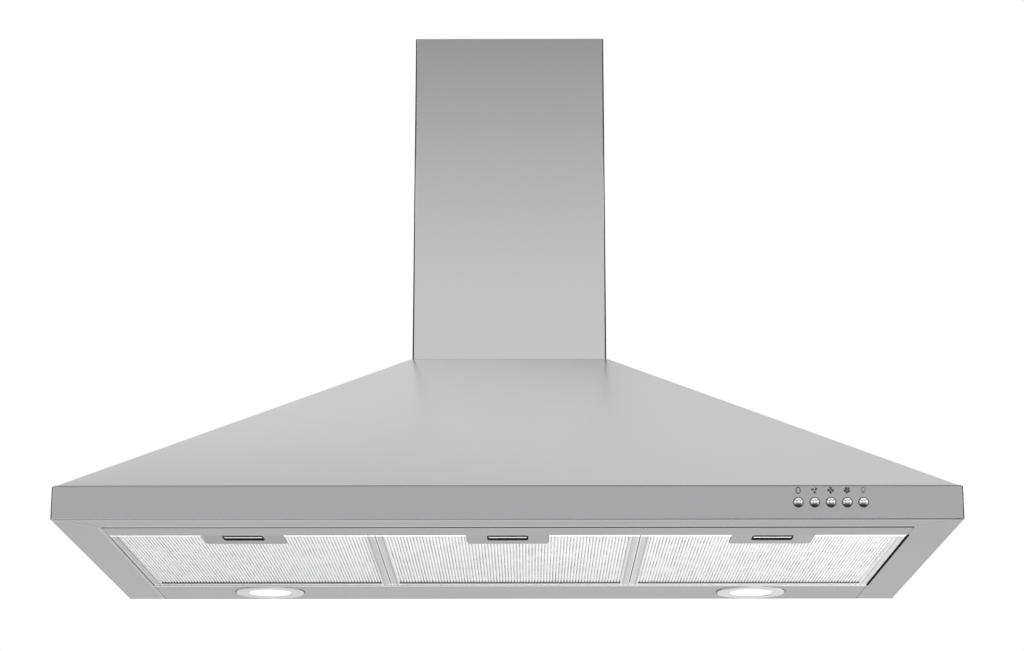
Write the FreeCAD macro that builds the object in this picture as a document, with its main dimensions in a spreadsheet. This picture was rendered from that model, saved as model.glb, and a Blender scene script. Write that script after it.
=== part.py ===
import FreeCAD
import Part
import math
import os
import Sketcher

# Wall-mounted chimney range hood, in millimetres. X runs along the wall, Y into the wall and Z up.
# The origin is on the wall plane, in the middle of the hood's lower rear edge.

SIZES = {
    # sheet work
    "hood_width": 898,
    "hood_depth": 500,
    "sheet_gauge": 1,
    "fold_radius": 1.5,
    "corner_radius": 2,
    "fascia_height": 34,
    "flange_width": 42,
    "flange_lip_height": 14,
    "top_return_width": 12,
    "canopy_rise": 201,
    "canopy_wall": 1.2,
    "canopy_ledge": 12,
    "canopy_inset": 2.5,
    "chimney_width": 217,
    "chimney_depth": 215,
    "chimney_height": 384,
    "chimney_margin": 2,
    "chimney_return": 15,
    "upper_wall": 0.8,
    "upper_gap": 0.7,
    "upper_drop": 4,
    "vent_slot_count": 5,
    "vent_slot_length": 60,
    "vent_slot_width": 5,
    "vent_slot_pitch": 11,
    "vent_top_offset": 40,
    "bracket_height": 24,
    "bracket_gauge": 1.5,
    "bracket_ear": 20,
    "bracket_hole_spacing": 150,
    "bracket_top_gap": 2,
    "rail_depth": 44.5,
    "panel_depth": 97,
    "mitre_groove": 0.5,
    "edge_gap": 0.3,
    # fixing to the wall
    "wall_hole_radius": 3,
    "wall_hole_spacing_across": 220,
    "wall_hole_spacing_up": 90,
    "wall_hole_height": 105,
    # grease filters
    "filter_lift": 0.5,
    "filter_thickness": 9,
    "filter_gauge": 0.8,
    "filter_border": 9.5,
    "filter_gap": 1,
    "filter_end_gap": 0.5,
    "filter_tab_width": 30,
    "filter_tab_reach": 5.5,
    "filter_tab_spacing": 180,
    "seat_gap": 0.3,
    "mesh_gap": 0.2,
    # filter handle and latch
    "handle_width": 84,
    "handle_depth": 50,
    "handle_wall": 1.5,
    "handle_radius": 4.5,
    "slot_width": 42,
    "slot_depth": 28,
    "slot_radius": 4,
    "slot_offset": 3,
    "latch_level": 6,
    "latch_gauge": 1.5,
    "latch_width": 20,
    "latch_catch": 3,
    "latch_travel": 6,
    "latch_shoulder": 6,
    "latch_cavity_margin": 8,
    "latch_front_gap": 1,
    "pusher_depth": 2,
    "grip_offset": 7,
    "grip_width": 40,
    "grip_depth": 8,
    "spring_folds": 5,
    "spring_packed": 10,
    "spring_strip": 0.5,
    "spring_height": 3,
    "spring_half_width": 5,
    # lamps
    "lamp_inset": 171,
    "lamp_offset": 1.5,
    "lamp_ring_radius": 39.5,
    "lamp_lens_radius": 25.5,
    "lamp_hole_radius": 35,
    "lamp_ring_height": 1.6,
    "lamp_neck_height": 6,
    "lamp_body_height": 22,
    "lamp_dome_radius": 23.4,
    "lens_thickness": 2,
    # push buttons
    "button_pitch": 16,
    "button_inset": 130.5,
    "button_radius": 4.6,
    "button_round": 3.4,
    "button_proud": 3.6,
    "button_travel": 3,
    "button_stem_radius": 2.4,
    "button_stem_length": 18,
    "button_play": 0.15,
    "bush_wall": 0.45,
    "bush_gap": 0.05,
    "switch_width": 84,
    "switch_depth": 30,
    "switch_height": 24,
    "switch_wall": 1.5,
    # blower
    "axis_height": 122,
    "volute_margin": 2,
    "volute_cable_gap": 6,
    "volute_wall": 1.5,
    "inlet_radius": 62,
    "guard_overlap": 8,
    "guard_wire": 2,
    "guard_ring_count": 3,
    "guard_ring_pitch": 21,
    "guard_ear_margin": 1,
    "wheel_radius": 75,
    "wheel_side_gap": 12,
    "wheel_disc": 2,
    "wheel_rim": 6,
    "wheel_rim_inset": 2,
    "blade_count": 36,
    "blade_gauge": 1.2,
    "blade_depth": 12,
    "blade_inset": 1,
    "hub_radius": 12,
    "hub_length": 14,
    "shaft_radius": 4,
    "shaft_play": 0.05,
    "shaft_overhang": 2,
    "shaft_end_gap": 1,
    "nut_radius": 6.5,
    "nut_thickness": 5,
    "motor_radius": 44,
    "motor_length": 54,
    "motor_bevel": 2,
    "motor_nose_length": 6,
    "motor_nose_drop": 8,
    "bracket_plate": 2,
    "vent_hole_count": 10,
    "vent_hole_radius": 8,
    # outlet and damper
    "plate_gauge": 1.5,
    "collar_radius": 75,
    "collar_wall": 1.2,
    "collar_height": 42,
    "collar_flange": 10,
    "collar_bead_level": 10,
    "collar_bead_height": 2,
    "collar_bead_reach": 1.5,
    "pin_boss_length": 3,
    "damper_height": 20,
    "pin_radius": 2,
    "pin_play": 0.08,
    "knuckle_wall": 1.4,
    "flap_gauge": 1.2,
    "flap_gap": 1,
    "knuckle_inner": 30,
    "knuckle_outer": 58,
    # electrics
    "box_width": 80,
    "box_depth": 42,
    "box_height": 52,
    "box_wall": 2,
    "box_left": 125,
    "box_base": 48,
    "capacitor_radius": 14,
    "capacitor_length": 56,
    "capacitor_bevel": 1,
    "grommet_inset": 11,
    "grommet_radius": 7,
    "grommet_flange_radius": 9.5,
    "grommet_bore_radius": 4.5,
    # fasteners
    "screw_radius": 1.9,
    "screw_head_radius": 3.6,
    "screw_head_height": 1.6,
    "screw_length": 7,
    "screw_play": 0.1,
    "ledge_screw_inset": 8.8,
    "ledge_screw_end": 20,
    # leads
    "lead_radius": 2.5,
    "lead_pitch": 12.5,
    "lead_floor": 36,
    "switch_exit_across": 10,
    "switch_exit_up": 5,
}

# Cutters run this far past the faces they cut, and joined bodies this far into each other.
PAST = 1
RING_SCREWS = 4
# The share of its shorter run that each bend of a lead takes up
BEND_SHARE = 0.45
PARTS_FOLDER = "parts"

doc = FreeCAD.newDocument("RangeHood")
sheet = doc.addObject("Spreadsheet::Sheet", "Sizes")
for row, (alias, amount) in enumerate(SIZES.items(), start=1):
    sheet.set(f"A{row}", alias)
    sheet.set(f"B{row}", str(amount))
    sheet.setAlias(f"B{row}", alias)
doc.recompute()

nodes = []


class Length:
    """A size worked out from the sheet: the text of its expression and its value."""

    def __init__(self, text, value):
        self.text = text
        self.value = value

    def __add__(self, other):
        other = length(other)
        return Length(f"({self.text} + {other.text})", self.value + other.value)

    def __sub__(self, other):
        other = length(other)
        return Length(f"({self.text} - {other.text})", self.value - other.value)

    def __mul__(self, other):
        other = length(other)
        return Length(f"({self.text} * {other.text})", self.value * other.value)

    def __truediv__(self, other):
        other = length(other)
        return Length(f"({self.text} / {other.text})", self.value / other.value)

    def __neg__(self):
        return Length(f"(-{self.text})", -self.value)

    def __rsub__(self, other):
        return length(other) - self

    __radd__ = __add__
    __rmul__ = __mul__


def length(amount):
    """Any number or Length as a Length."""
    if isinstance(amount, Length):
        return amount
    return Length(f"({float(amount)})", float(amount))


class Sheet:
    """Reads the sheet: S.hood_width is the Length of that cell."""

    def __getattr__(self, alias):
        return Length(f"Sizes.{alias}", float(sheet.get(alias)))


S = Sheet()


# ---------------------------------------------------------------- sketches and features


def box_outline(x0, y0, x1, y1):
    return [(x0, y0), (x1, y0), (x1, y1), (x0, y1)]


def u_outline(half, front, gauge_side, gauge_front, back):
    """A U open towards the wall: outer half width and front, and its thickness."""
    inner = half - gauge_side
    inner_front = front + gauge_front
    return [
        (-half, back),
        (-half, front),
        (half, front),
        (half, back),
        (inner, back),
        (inner, inner_front),
        (-inner, inner_front),
        (-inner, back),
    ]


def circle(x, y, radius):
    return ("circle", x, y, radius)


def bind(target, path, amount):
    target.setExpression(path, length(amount).text)


def add_point(sketch, index, end, x, y):
    for kind, amount in (("DistanceX", x), ("DistanceY", y)):
        amount = length(amount)
        constraint = Sketcher.Constraint(kind, -1, 1, index, end, amount.value)
        number = sketch.addConstraint(constraint)
        sketch.setExpression(f"Constraints[{number}]", amount.text)


def add_circle(sketch, x, y, radius):
    x, y, radius = length(x), length(y), length(radius)
    centre = FreeCAD.Vector(x.value, y.value, 0)
    curve = Part.Circle(centre, FreeCAD.Vector(0, 0, 1), radius.value)
    index = sketch.addGeometry(curve, False)
    add_point(sketch, index, 3, x, y)
    number = sketch.addConstraint(Sketcher.Constraint("Radius", index, radius.value))
    sketch.setExpression(f"Constraints[{number}]", radius.text)


def add_polygon(sketch, points):
    corners = [FreeCAD.Vector(length(x).value, length(y).value, 0) for x, y in points]
    count = len(corners)
    sides = [Part.LineSegment(corners[i], corners[(i + 1) % count]) for i in range(count)]
    indices = sketch.addGeometry(sides, False)
    for i, index in enumerate(indices):
        follower = indices[(i + 1) % count]
        sketch.addConstraint(Sketcher.Constraint("Coincident", index, 2, follower, 1))
    for index, (x, y) in zip(indices, points):
        add_point(sketch, index, 1, x, y)


def origin_plane(body, role):
    return next(item for item in body.Origin.OriginFeatures if item.Role == role)


def draw(body, plane, level, loops):
    """A sketch on an origin plane of the body, moved to a level along that plane's axis."""
    sketch = body.newObject("Sketcher::SketchObject", f"{body.Label}_sketch")
    sketch.AttachmentSupport = [(origin_plane(body, f"{plane}_Plane"), "")]
    sketch.MapMode = "FlatFace"
    # The XZ plane faces the front, so its levels count the other way.
    level = length(level)
    offset = -level if plane == "XZ" else level
    bind(sketch, "AttachmentOffset.Base.z", offset)
    for loop in loops:
        if loop[0] == "circle":
            add_circle(sketch, *loop[1:])
        else:
            add_polygon(sketch, loop)
    return sketch


def node(name):
    body = doc.addObject("PartDesign::Body", name)
    body.Label = name
    nodes.append(body)
    return body


def place(body, x=0, y=0, z=0):
    bind(body, "Placement.Base.x", x)
    bind(body, "Placement.Base.y", y)
    bind(body, "Placement.Base.z", z)


def pad(body, plane, level, depth, *loops):
    """Adds material from a level of the plane's axis, in that axis's own direction."""
    feature = body.newObject("PartDesign::Pad", f"{body.Label}_pad")
    feature.Profile = draw(body, plane, level, loops)
    bind(feature, "Length", depth)
    feature.Reversed = plane == "XZ"
    return feature


def pocket(body, plane, level, depth, *loops):
    """Cuts from a level of the plane's axis, in that axis's own direction."""
    feature = body.newObject("PartDesign::Pocket", f"{body.Label}_pocket")
    feature.Profile = draw(body, plane, level, loops)
    bind(feature, "Length", depth)
    feature.Reversed = plane != "XZ"
    return feature


def drill(body, plane, level, depth, *loops):
    """Cuts right through a wall that starts at a level and is depth thick."""
    return pocket(body, plane, level - PAST, depth + PAST * 2, *loops)


def turn(body, axis, *loops):
    """A full revolution. Points are (radius, along), and (along, radius) about X."""
    plane, sketch_axis = {"X": ("XY", "H_Axis"), "Y": ("XY", "V_Axis"), "Z": ("XZ", "V_Axis")}[axis]
    feature = body.newObject("PartDesign::Revolution", f"{body.Label}_turn")
    sketch = draw(body, plane, 0, loops)
    feature.Profile = sketch
    feature.ReferenceAxis = (sketch, [sketch_axis])
    feature.Angle = 360
    return feature


def repeat_about(body, feature, axis_role, count):
    pattern = body.newObject("PartDesign::PolarPattern", f"{body.Label}_pattern")
    pattern.Originals = [feature]
    pattern.Axis = (origin_plane(body, axis_role), [""])
    pattern.Angle = 360
    pattern.Occurrences = int(count.value)
    pattern.setExpression("Occurrences", count.text)
    body.Tip = pattern
    return pattern


def add_fillet(body, feature, radius, wanted):
    """Rounds the edges that are wanted, and what runs smoothly on from them."""
    doc.recompute()
    edges = enumerate(feature.Shape.Edges, start=1)
    names = [f"Edge{number}" for number, edge in edges if wanted(edge)]
    fillet = body.newObject("PartDesign::Fillet", f"{body.Label}_fillet")
    fillet.Base = (feature, names)
    bind(fillet, "Radius", radius)
    return fillet


def round_edges(body, feature, axis, radius, places):
    """Rounds the straight edges along an axis at the given places of the other two axes."""
    across = {"X": ("y", "z"), "Y": ("x", "z"), "Z": ("x", "y")}[axis]
    spots = [(length(first).value, length(second).value) for first, second in places]

    def wanted(edge):
        if edge.Curve.TypeId != "Part::GeomLine":
            return False
        start, end = ([getattr(vertex.Point, name) for name in across] for vertex in edge.Vertexes)
        return math.dist(start, end) < 1e-3 and any(math.dist(start, spot) < 1e-3 for spot in spots)

    return add_fillet(body, feature, radius, wanted)


def round_rim(body, feature, radius, level):
    """Rounds the round edge of a body turned about Y, at a level of Y."""

    def wanted(edge):
        flat = edge.BoundBox.YLength < 1e-3
        return flat and abs(edge.BoundBox.YMin - length(level).value) < 1e-3

    return add_fillet(body, feature, radius, wanted)


def both_sides(x, y):
    return [(-x, y), (x, y)]


# ---------------------------------------------------------------- shared places

half_width = S.hood_width / 2
front = -S.hood_depth
panel_face = -S.sheet_gauge
canopy_top = S.fascia_height + S.canopy_rise
chimney_half = S.chimney_width / 2
ledge_half = chimney_half + S.chimney_margin
ledge_front = -(S.chimney_depth + S.chimney_margin)
canopy_half = half_width - S.canopy_inset
canopy_front = front + S.canopy_inset
opening_half = half_width - S.flange_width
opening_front = front + S.flange_width
# The faces inside the flange's upturned lip
bay_half = opening_half - S.sheet_gauge
rail_front = opening_front + S.sheet_gauge + S.edge_gap
rail_back = opening_front + S.rail_depth
panel_front = -S.panel_depth
strip_half = bay_half - S.edge_gap

filter_front = rail_back + S.filter_end_gap
filter_back = panel_front - S.filter_end_gap
filter_width = (bay_half * 2 - S.filter_gap * 4) / 3
filter_top = S.filter_lift + S.filter_thickness
tab_level = filter_top - S.filter_gauge
panel_lip = tab_level - S.seat_gap
latch_underside = S.filter_lift + S.latch_level
rail_lip = latch_underside - S.seat_gap

plate_top = canopy_top - S.canopy_wall
plate_base = plate_top - S.plate_gauge

# The duct, the blower and the damper share one axis, in the middle of the ledge's opening.
duct_half = ledge_half - S.canopy_ledge
duct_front = ledge_front + S.canopy_ledge
duct_back = panel_face - S.canopy_ledge
blower_y = (duct_front + duct_back) / 2
blower_z = S.axis_height
grommet_x = S.grommet_inset - duct_half
grommet_y = duct_front + S.grommet_inset
volute_radius = (duct_back - duct_front) / 2 + S.volute_margin
volute_half = -grommet_x - S.grommet_flange_radius - S.volute_cable_gap
wheel_half = volute_half - S.wheel_side_gap
guard_radius = S.inlet_radius + S.guard_overlap

lamp_x = half_width - S.lamp_inset
lamp_y = panel_front / 2 - S.lamp_offset
button_centre = half_width - S.button_inset


# Screws: those of the ledge are (x, y), and those of round flanges are about the blower's axis.
ledge_screw_x = ledge_half - S.ledge_screw_inset
ledge_screws = [(ledge_screw_x * i, y)
                for i in (-1, 1)
                for y in (-S.ledge_screw_end, ledge_front + S.ledge_screw_end)]


def ring_places(radius, count=RING_SCREWS, first=math.pi / 4):
    """Evenly spaced places on a circle, from the first angle on."""
    angles = [first + 2 * math.pi * step / count for step in range(count)]
    return [(radius * math.cos(angle), radius * math.sin(angle)) for angle in angles]


def holes_at(places):
    return [circle(x, y, S.screw_radius + S.screw_play) for x, y in places]


guard_screw_ring = guard_radius - S.screw_head_radius
collar_screw_ring = S.collar_radius + S.collar_flange / 2


# ---------------------------------------------------------------- sheet work


def wedge(name, base, top, back):
    """The canopy's pyramid between two levels, from its back plane to the slopes."""
    solid = doc.addObject("Part::Wedge", name)
    sides = {
        "Xmin": -canopy_half,
        "Xmax": canopy_half,
        "X2min": -ledge_half,
        "X2max": ledge_half,
        "Ymin": base,
        "Ymax": top,
        "Zmin": -back,
        "Zmax": -canopy_front,
        "Z2min": -back,
        "Z2max": -ledge_front,
    }
    for side, amount in sides.items():
        bind(solid, side, amount)
    # The wedge narrows along its own Y, which is turned up to Z.
    solid.Placement = FreeCAD.Placement(
        FreeCAD.Vector(0, 0, 0), FreeCAD.Rotation(FreeCAD.Vector(1, 0, 0), 90)
    )
    return solid


def make_canopy_shell():
    drop = S.canopy_wall
    outside = wedge("canopy_outside", S.fascia_height, canopy_top, panel_face)
    hollow = wedge("canopy_hollow", S.fascia_height - drop, canopy_top - drop, S.sheet_gauge)
    opening = doc.addObject("Part::Box", "canopy_opening")
    bind(opening, "Length", duct_half * 2)
    bind(opening, "Width", duct_back - duct_front)
    bind(opening, "Height", drop * 3)
    bind(opening, "Placement.Base.x", -duct_half)
    bind(opening, "Placement.Base.y", duct_front)
    bind(opening, "Placement.Base.z", canopy_top - drop * 2)
    cutters = [hollow, opening]
    for number, (x, y) in enumerate(ledge_screws, start=1):
        hole = doc.addObject("Part::Cylinder", f"canopy_screw_hole_{number}")
        bind(hole, "Radius", S.screw_radius + S.screw_play)
        bind(hole, "Height", drop * 3)
        bind(hole, "Placement.Base.x", x)
        bind(hole, "Placement.Base.y", y)
        bind(hole, "Placement.Base.z", canopy_top - drop * 2)
        cutters.append(hole)
    tool = doc.addObject("Part::MultiFuse", "canopy_cutters")
    tool.Shapes = cutters
    shell = doc.addObject("Part::Cut", "canopy_shell")
    shell.Label = "canopy_shell"
    shell.Base = outside
    shell.Tool = tool
    nodes.append(shell)


def make_fascia_frame():
    body = node("fascia_frame")
    gauge = S.sheet_gauge
    band = u_outline(half_width, front, gauge, gauge, panel_face)
    pad(body, "XY", 0, S.fascia_height, band)
    flange = u_outline(half_width, front, S.flange_width, S.flange_width, panel_face)
    pad(body, "XY", 0, gauge, flange)
    lip = u_outline(opening_half, opening_front, gauge, gauge, panel_face)
    pad(body, "XY", 0, S.flange_lip_height, lip)
    top_return = u_outline(half_width, front, S.top_return_width, S.top_return_width, panel_face)
    sheet_work = pad(body, "XY", S.fascia_height - gauge, gauge, top_return)
    # The strip is bent round the corners and folded in along its lower and upper edges.
    outside = both_sides(half_width, front)
    inside = both_sides(half_width - gauge, front + gauge)
    bay_corners = both_sides(bay_half, opening_front + gauge)
    inner_fold = S.fold_radius - gauge
    sheet_work = round_edges(body, sheet_work, "Z", S.corner_radius, outside)
    sheet_work = round_edges(body, sheet_work, "Z", S.corner_radius - gauge, inside)
    sheet_work = round_edges(body, sheet_work, "Z", inner_fold, bay_corners)
    outer_folds = [(front, 0), (front, S.fascia_height), (opening_front + gauge, 0)]
    sheet_work = round_edges(body, sheet_work, "X", S.fold_radius, outer_folds)
    inner_folds = [(front + gauge, gauge), (front + gauge, S.fascia_height - gauge)]
    round_edges(body, sheet_work, "X", inner_fold, inner_folds)
    holes = [circle(x, button_level, bush_radius + S.bush_gap) for x in button_places]
    drill(body, "XZ", front, gauge, *holes)
    # The folded corners of the flange meet in a mitre.
    groove = S.mitre_groove
    for i in (-1, 1):
        outer_x = (half_width - gauge) * i
        inner_x = opening_half * i
        mitre = [
            (outer_x, front + gauge),
            (outer_x, front + gauge + groove),
            (inner_x, opening_front + groove),
            (inner_x, opening_front),
        ]
        pocket(body, "XY", -groove, groove * 2, mitre)


def make_back_panel():
    body = node("back_panel")
    outline = [
        (-half_width, 0),
        (half_width, 0),
        (half_width, S.fascia_height),
        (canopy_half, S.fascia_height),
        (ledge_half, canopy_top),
        (-ledge_half, canopy_top),
        (-canopy_half, S.fascia_height),
        (-half_width, S.fascia_height),
    ]
    pad(body, "XZ", panel_face, S.sheet_gauge, outline)
    across = S.wall_hole_spacing_across / 2
    up = S.wall_hole_spacing_up / 2
    spots = [(i * across, S.wall_hole_height + k * up) for i in (-1, 1) for k in (-1, 1)]
    holes = [circle(x, z, S.wall_hole_radius) for x, z in spots]
    drill(body, "XZ", panel_face, S.sheet_gauge, *holes)


def fold_strip(body, strip, strip_front, strip_back):
    """Rounds the lower folds of a strip whose two long edges are turned up."""
    gauge = S.sheet_gauge
    outer = [(strip_front, 0), (strip_back, 0)]
    inner = [(strip_front + gauge, gauge), (strip_back - gauge, gauge)]
    strip = round_edges(body, strip, "X", S.fold_radius, outer)
    return round_edges(body, strip, "X", S.fold_radius - gauge, inner)


def make_front_rail():
    body = node("front_rail")
    gauge = S.sheet_gauge
    pad(body, "XY", 0, gauge, box_outline(-strip_half, rail_front, strip_half, rail_back))
    pad(body, "XY", 0, rail_lip, box_outline(-strip_half, rail_back - gauge, strip_half, rail_back))
    turned_up = box_outline(-strip_half, rail_front, strip_half, rail_front + gauge)
    strip = pad(body, "XY", 0, S.flange_lip_height, turned_up)
    fold_strip(body, strip, rail_front, rail_back)


def make_lamp_panel():
    body = node("lamp_panel")
    gauge = S.sheet_gauge
    back = panel_face - S.edge_gap
    pad(body, "XY", 0, gauge, box_outline(-strip_half, panel_front, strip_half, back))
    pad(body, "XY", 0, panel_lip, box_outline(-strip_half, panel_front, strip_half, panel_front + gauge))
    turned_up = box_outline(-strip_half, back - gauge, strip_half, back)
    strip = pad(body, "XY", 0, S.flange_lip_height, turned_up)
    fold_strip(body, strip, panel_front, back)
    holes = [circle(lamp_x * i, lamp_y, S.lamp_hole_radius) for i in (-1, 1)]
    drill(body, "XY", 0, gauge, *holes)


def make_top_plate():
    body = node("top_plate")
    half = ledge_half - S.chimney_margin
    outline = box_outline(-half, ledge_front + S.chimney_margin, half, panel_face - S.edge_gap)
    pad(body, "XY", plate_base, S.plate_gauge, outline)
    duct = circle(0, blower_y, S.collar_radius - S.collar_wall)
    cable = circle(grommet_x, grommet_y, S.grommet_radius)
    collar_holes = [(x, blower_y + y) for x, y in ring_places(collar_screw_ring)]
    screws = holes_at(ledge_screws + collar_holes)
    drill(body, "XY", plate_base, S.plate_gauge, duct, cable, *screws)


def chimney_outline(half, depth, wall, back):
    """A box section open at the back, with two narrow returns along the wall."""
    inner = half - wall
    lips = half - S.chimney_return
    return [
        (-half, back),
        (-half, -depth),
        (half, -depth),
        (half, back),
        (lips, back),
        (lips, back - wall),
        (inner, back - wall),
        (inner, wall - depth),
        (-inner, wall - depth),
        (-inner, back - wall),
        (-lips, back - wall),
        (-lips, back),
    ]


def bend_corners(body, section, half, depth, wall, back):
    """Rounds the four upright corners of a box section, inside and outside."""
    outside = both_sides(half, -depth) + both_sides(half, back)
    inside = both_sides(half - wall, wall - depth) + both_sides(half - wall, back - wall)
    section = round_edges(body, section, "Z", S.corner_radius, outside)
    return round_edges(body, section, "Z", S.corner_radius - wall, inside)


upper_half = chimney_half - S.sheet_gauge - S.upper_gap
upper_front_depth = S.chimney_depth - S.sheet_gauge - S.upper_gap
upper_back = -(S.sheet_gauge + S.upper_gap)
upper_height = S.chimney_height - S.upper_drop
upper_top = canopy_top + upper_height


def make_chimney_cover():
    body = node("chimney_cover")
    profile = (chimney_half, S.chimney_depth, S.sheet_gauge, 0)
    section = pad(body, "XY", canopy_top, S.chimney_height, chimney_outline(*profile))
    bend_corners(body, section, *profile)


def make_upper_chimney():
    body = node("upper_chimney")
    profile = (upper_half, upper_front_depth, S.upper_wall, upper_back)
    section = pad(body, "XY", canopy_top, upper_height, chimney_outline(*profile))
    bend_corners(body, section, *profile)
    # Recirculation slots through both sides, near the top
    middle = -S.chimney_depth / 2
    slots = []
    for step in range(int(S.vent_slot_count.value)):
        level = upper_top - S.vent_top_offset - S.vent_slot_pitch * step
        half = S.vent_slot_length / 2
        slots.append(box_outline(middle - half, level - S.vent_slot_width, middle + half, level))
    drill(body, "YZ", -upper_half, upper_half * 2, *slots)


def make_wall_bracket():
    body = node("wall_bracket")
    half = upper_half - S.upper_wall - S.edge_gap
    back = upper_back - S.upper_wall - S.edge_gap
    base = upper_top - S.bracket_height - S.bracket_top_gap
    gauge = S.bracket_gauge
    pad(body, "XY", base, S.bracket_height, box_outline(-half, back - gauge, half, back))
    for left, right in ((-half, gauge - half), (half - gauge, half)):
        ear = box_outline(left, back - S.bracket_ear, right, back)
        strap = pad(body, "XY", base, S.bracket_height, ear)
    strap = round_edges(body, strap, "Z", S.corner_radius, both_sides(half, back))
    inner_bend = S.corner_radius - gauge
    round_edges(body, strap, "Z", inner_bend, both_sides(half - gauge, back - gauge))
    level = base + S.bracket_height / 2
    holes = [circle(i * S.bracket_hole_spacing / 2, level, S.wall_hole_radius) for i in (-1, 1)]
    drill(body, "XZ", back - gauge, gauge, *holes)


# ---------------------------------------------------------------- screws


def make_screws(name, places, plane, level, heads_above, origin):
    """Pan head screws through a face of the plane, with their heads on one side of it."""
    body = node(name)
    heads = [circle(x, y, S.screw_head_radius) for x, y in places]
    shanks = [circle(x, y, S.screw_radius) for x, y in places]
    head = S.screw_head_height
    shank = S.screw_length
    pad(body, plane, level if heads_above else level - head, head, *heads)
    pad(body, plane, level - shank if heads_above else level, shank, *shanks)
    place(body, *origin)


# ---------------------------------------------------------------- lamps


def make_lamp(side, sign):
    x = lamp_x * sign
    y = lamp_y
    lens = S.lamp_lens_radius
    clear = lens + S.edge_gap
    neck = S.lamp_hole_radius - S.edge_gap
    gauge = S.sheet_gauge
    low = -S.lamp_ring_height

    ring = node(f"lamp_ring_{side}")
    profile = [
        (clear, low + gauge / 2),
        (clear + gauge / 2, low),
        (S.lamp_ring_radius - gauge, low),
        (S.lamp_ring_radius, 0),
        (neck, 0),
        (neck, S.lamp_neck_height),
        (neck - gauge, S.lamp_neck_height),
        (neck - gauge, low + gauge),
        (clear, low + gauge),
    ]
    turn(ring, "Z", profile)
    place(ring, x, y)

    body = node(f"lamp_body_{side}")
    body_radius = neck - gauge - S.edge_gap
    base = low + gauge
    shoulder = S.lamp_body_height / 2
    outline = [
        (0, base + S.lens_thickness),
        (lens + S.edge_gap, base + S.lens_thickness),
        (lens + S.edge_gap, base),
        (body_radius, base),
        (body_radius, shoulder),
        (S.lamp_dome_radius, S.lamp_body_height),
        (0, S.lamp_body_height),
    ]
    turn(body, "Z", outline)
    place(body, x, y)

    glass = node(f"lamp_lens_{side}")
    disc = [
        (0, low + gauge / 2),
        (lens - gauge, low + gauge / 2),
        (lens, low + gauge),
        (lens, base + S.lens_thickness),
        (0, base + S.lens_thickness),
    ]
    turn(glass, "Z", disc)
    place(glass, x, y)


# ---------------------------------------------------------------- push buttons

BUTTONS = ("button_off", "button_speed_1", "button_speed_2", "button_speed_3", "button_light")
button_level = S.fascia_height / 2
button_places = [button_centre + S.button_pitch * (i - 2) for i in range(len(BUTTONS))]
bush_bore = S.button_radius + S.button_play
bush_radius = bush_bore + S.bush_wall


def make_button(name, x):
    body = node(name)
    face = -S.button_proud
    inside = S.sheet_gauge + S.button_travel
    profile = [
        (0, face),
        (S.button_radius, face),
        (S.button_radius, inside),
        (S.button_stem_radius, inside),
        (S.button_stem_radius, inside + S.button_stem_length),
        (0, inside + S.button_stem_length),
    ]
    cap = turn(body, "Y", profile)
    round_rim(body, cap, S.button_round, face)
    place(body, x, front, button_level)


def make_button_bushes():
    body = node("button_bushes")
    depth = S.sheet_gauge + S.switch_wall
    outer = [circle(x, button_level, bush_radius) for x in button_places]
    bores = [circle(x, button_level, bush_bore) for x in button_places]
    pad(body, "XZ", front, depth, *outer, *bores)


def make_switch_housing():
    body = node("switch_housing")
    wall = S.switch_wall
    half = S.switch_width / 2
    tall = S.switch_height / 2
    x = button_centre
    z = button_level
    start = front + S.sheet_gauge
    pad(body, "XZ", start, S.switch_depth, box_outline(x - half, z - tall, x + half, z + tall))
    hollow = box_outline(x - half + wall, z - tall + wall, x + half - wall, z + tall - wall)
    pocket(body, "XZ", start + wall, S.switch_depth - wall * 2, hollow)
    holes = [circle(place_x, z, bush_radius + S.bush_gap) for place_x in button_places]
    drill(body, "XZ", start, wall, *holes)
    stems = [circle(place_x, z, S.button_stem_radius + S.button_play) for place_x in button_places]
    drill(body, "XZ", start + S.switch_depth - wall, wall, *stems)


# ---------------------------------------------------------------- blower


def make_volute(side, sign):
    """One half of the blower housing: a U-shaped trough with an inlet in its end wall."""
    body = node(f"blower_housing_{side}")
    wall = S.volute_wall
    radius = volute_radius
    reach = volute_half
    start = length(0) if sign > 0 else -reach
    top = plate_base - blower_z
    pad(body, "YZ", start, reach, circle(0, 0, radius))
    pad(body, "YZ", start, reach, box_outline(-radius, 0, radius, top))
    inner = radius - wall
    cut_start = length(-PAST) if sign > 0 else wall - reach
    cut = reach - wall + PAST
    pocket(body, "YZ", cut_start, cut, circle(0, 0, inner))
    pocket(body, "YZ", cut_start, cut, box_outline(-inner, 0, inner, top + PAST))
    end = reach - wall if sign > 0 else -reach
    screws = holes_at(ring_places(guard_screw_ring))
    drill(body, "YZ", end, wall, circle(0, 0, S.inlet_radius), *screws)
    place(body, 0, blower_y, blower_z)


def make_inlet_guard():
    body = node("inlet_guard")
    level = -volute_half - S.guard_wire
    wire = S.guard_wire
    for ring in range(int(S.guard_ring_count.value)):
        outer = guard_radius - S.guard_ring_pitch * ring
        pad(body, "YZ", level, wire, circle(0, 0, outer), circle(0, 0, outer - wire * 2))
    reach = guard_radius - wire
    for bar in (box_outline(-reach, -wire, reach, wire), box_outline(-wire, -reach, wire, reach)):
        pad(body, "YZ", level, wire, bar)
    ear = S.screw_head_radius + S.guard_ear_margin
    ears = [circle(y, z, ear) for y, z in ring_places(guard_screw_ring)]
    pad(body, "YZ", level, wire, *ears)
    drill(body, "YZ", level, wire, *holes_at(ring_places(guard_screw_ring)))
    place(body, 0, blower_y, blower_z)


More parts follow.
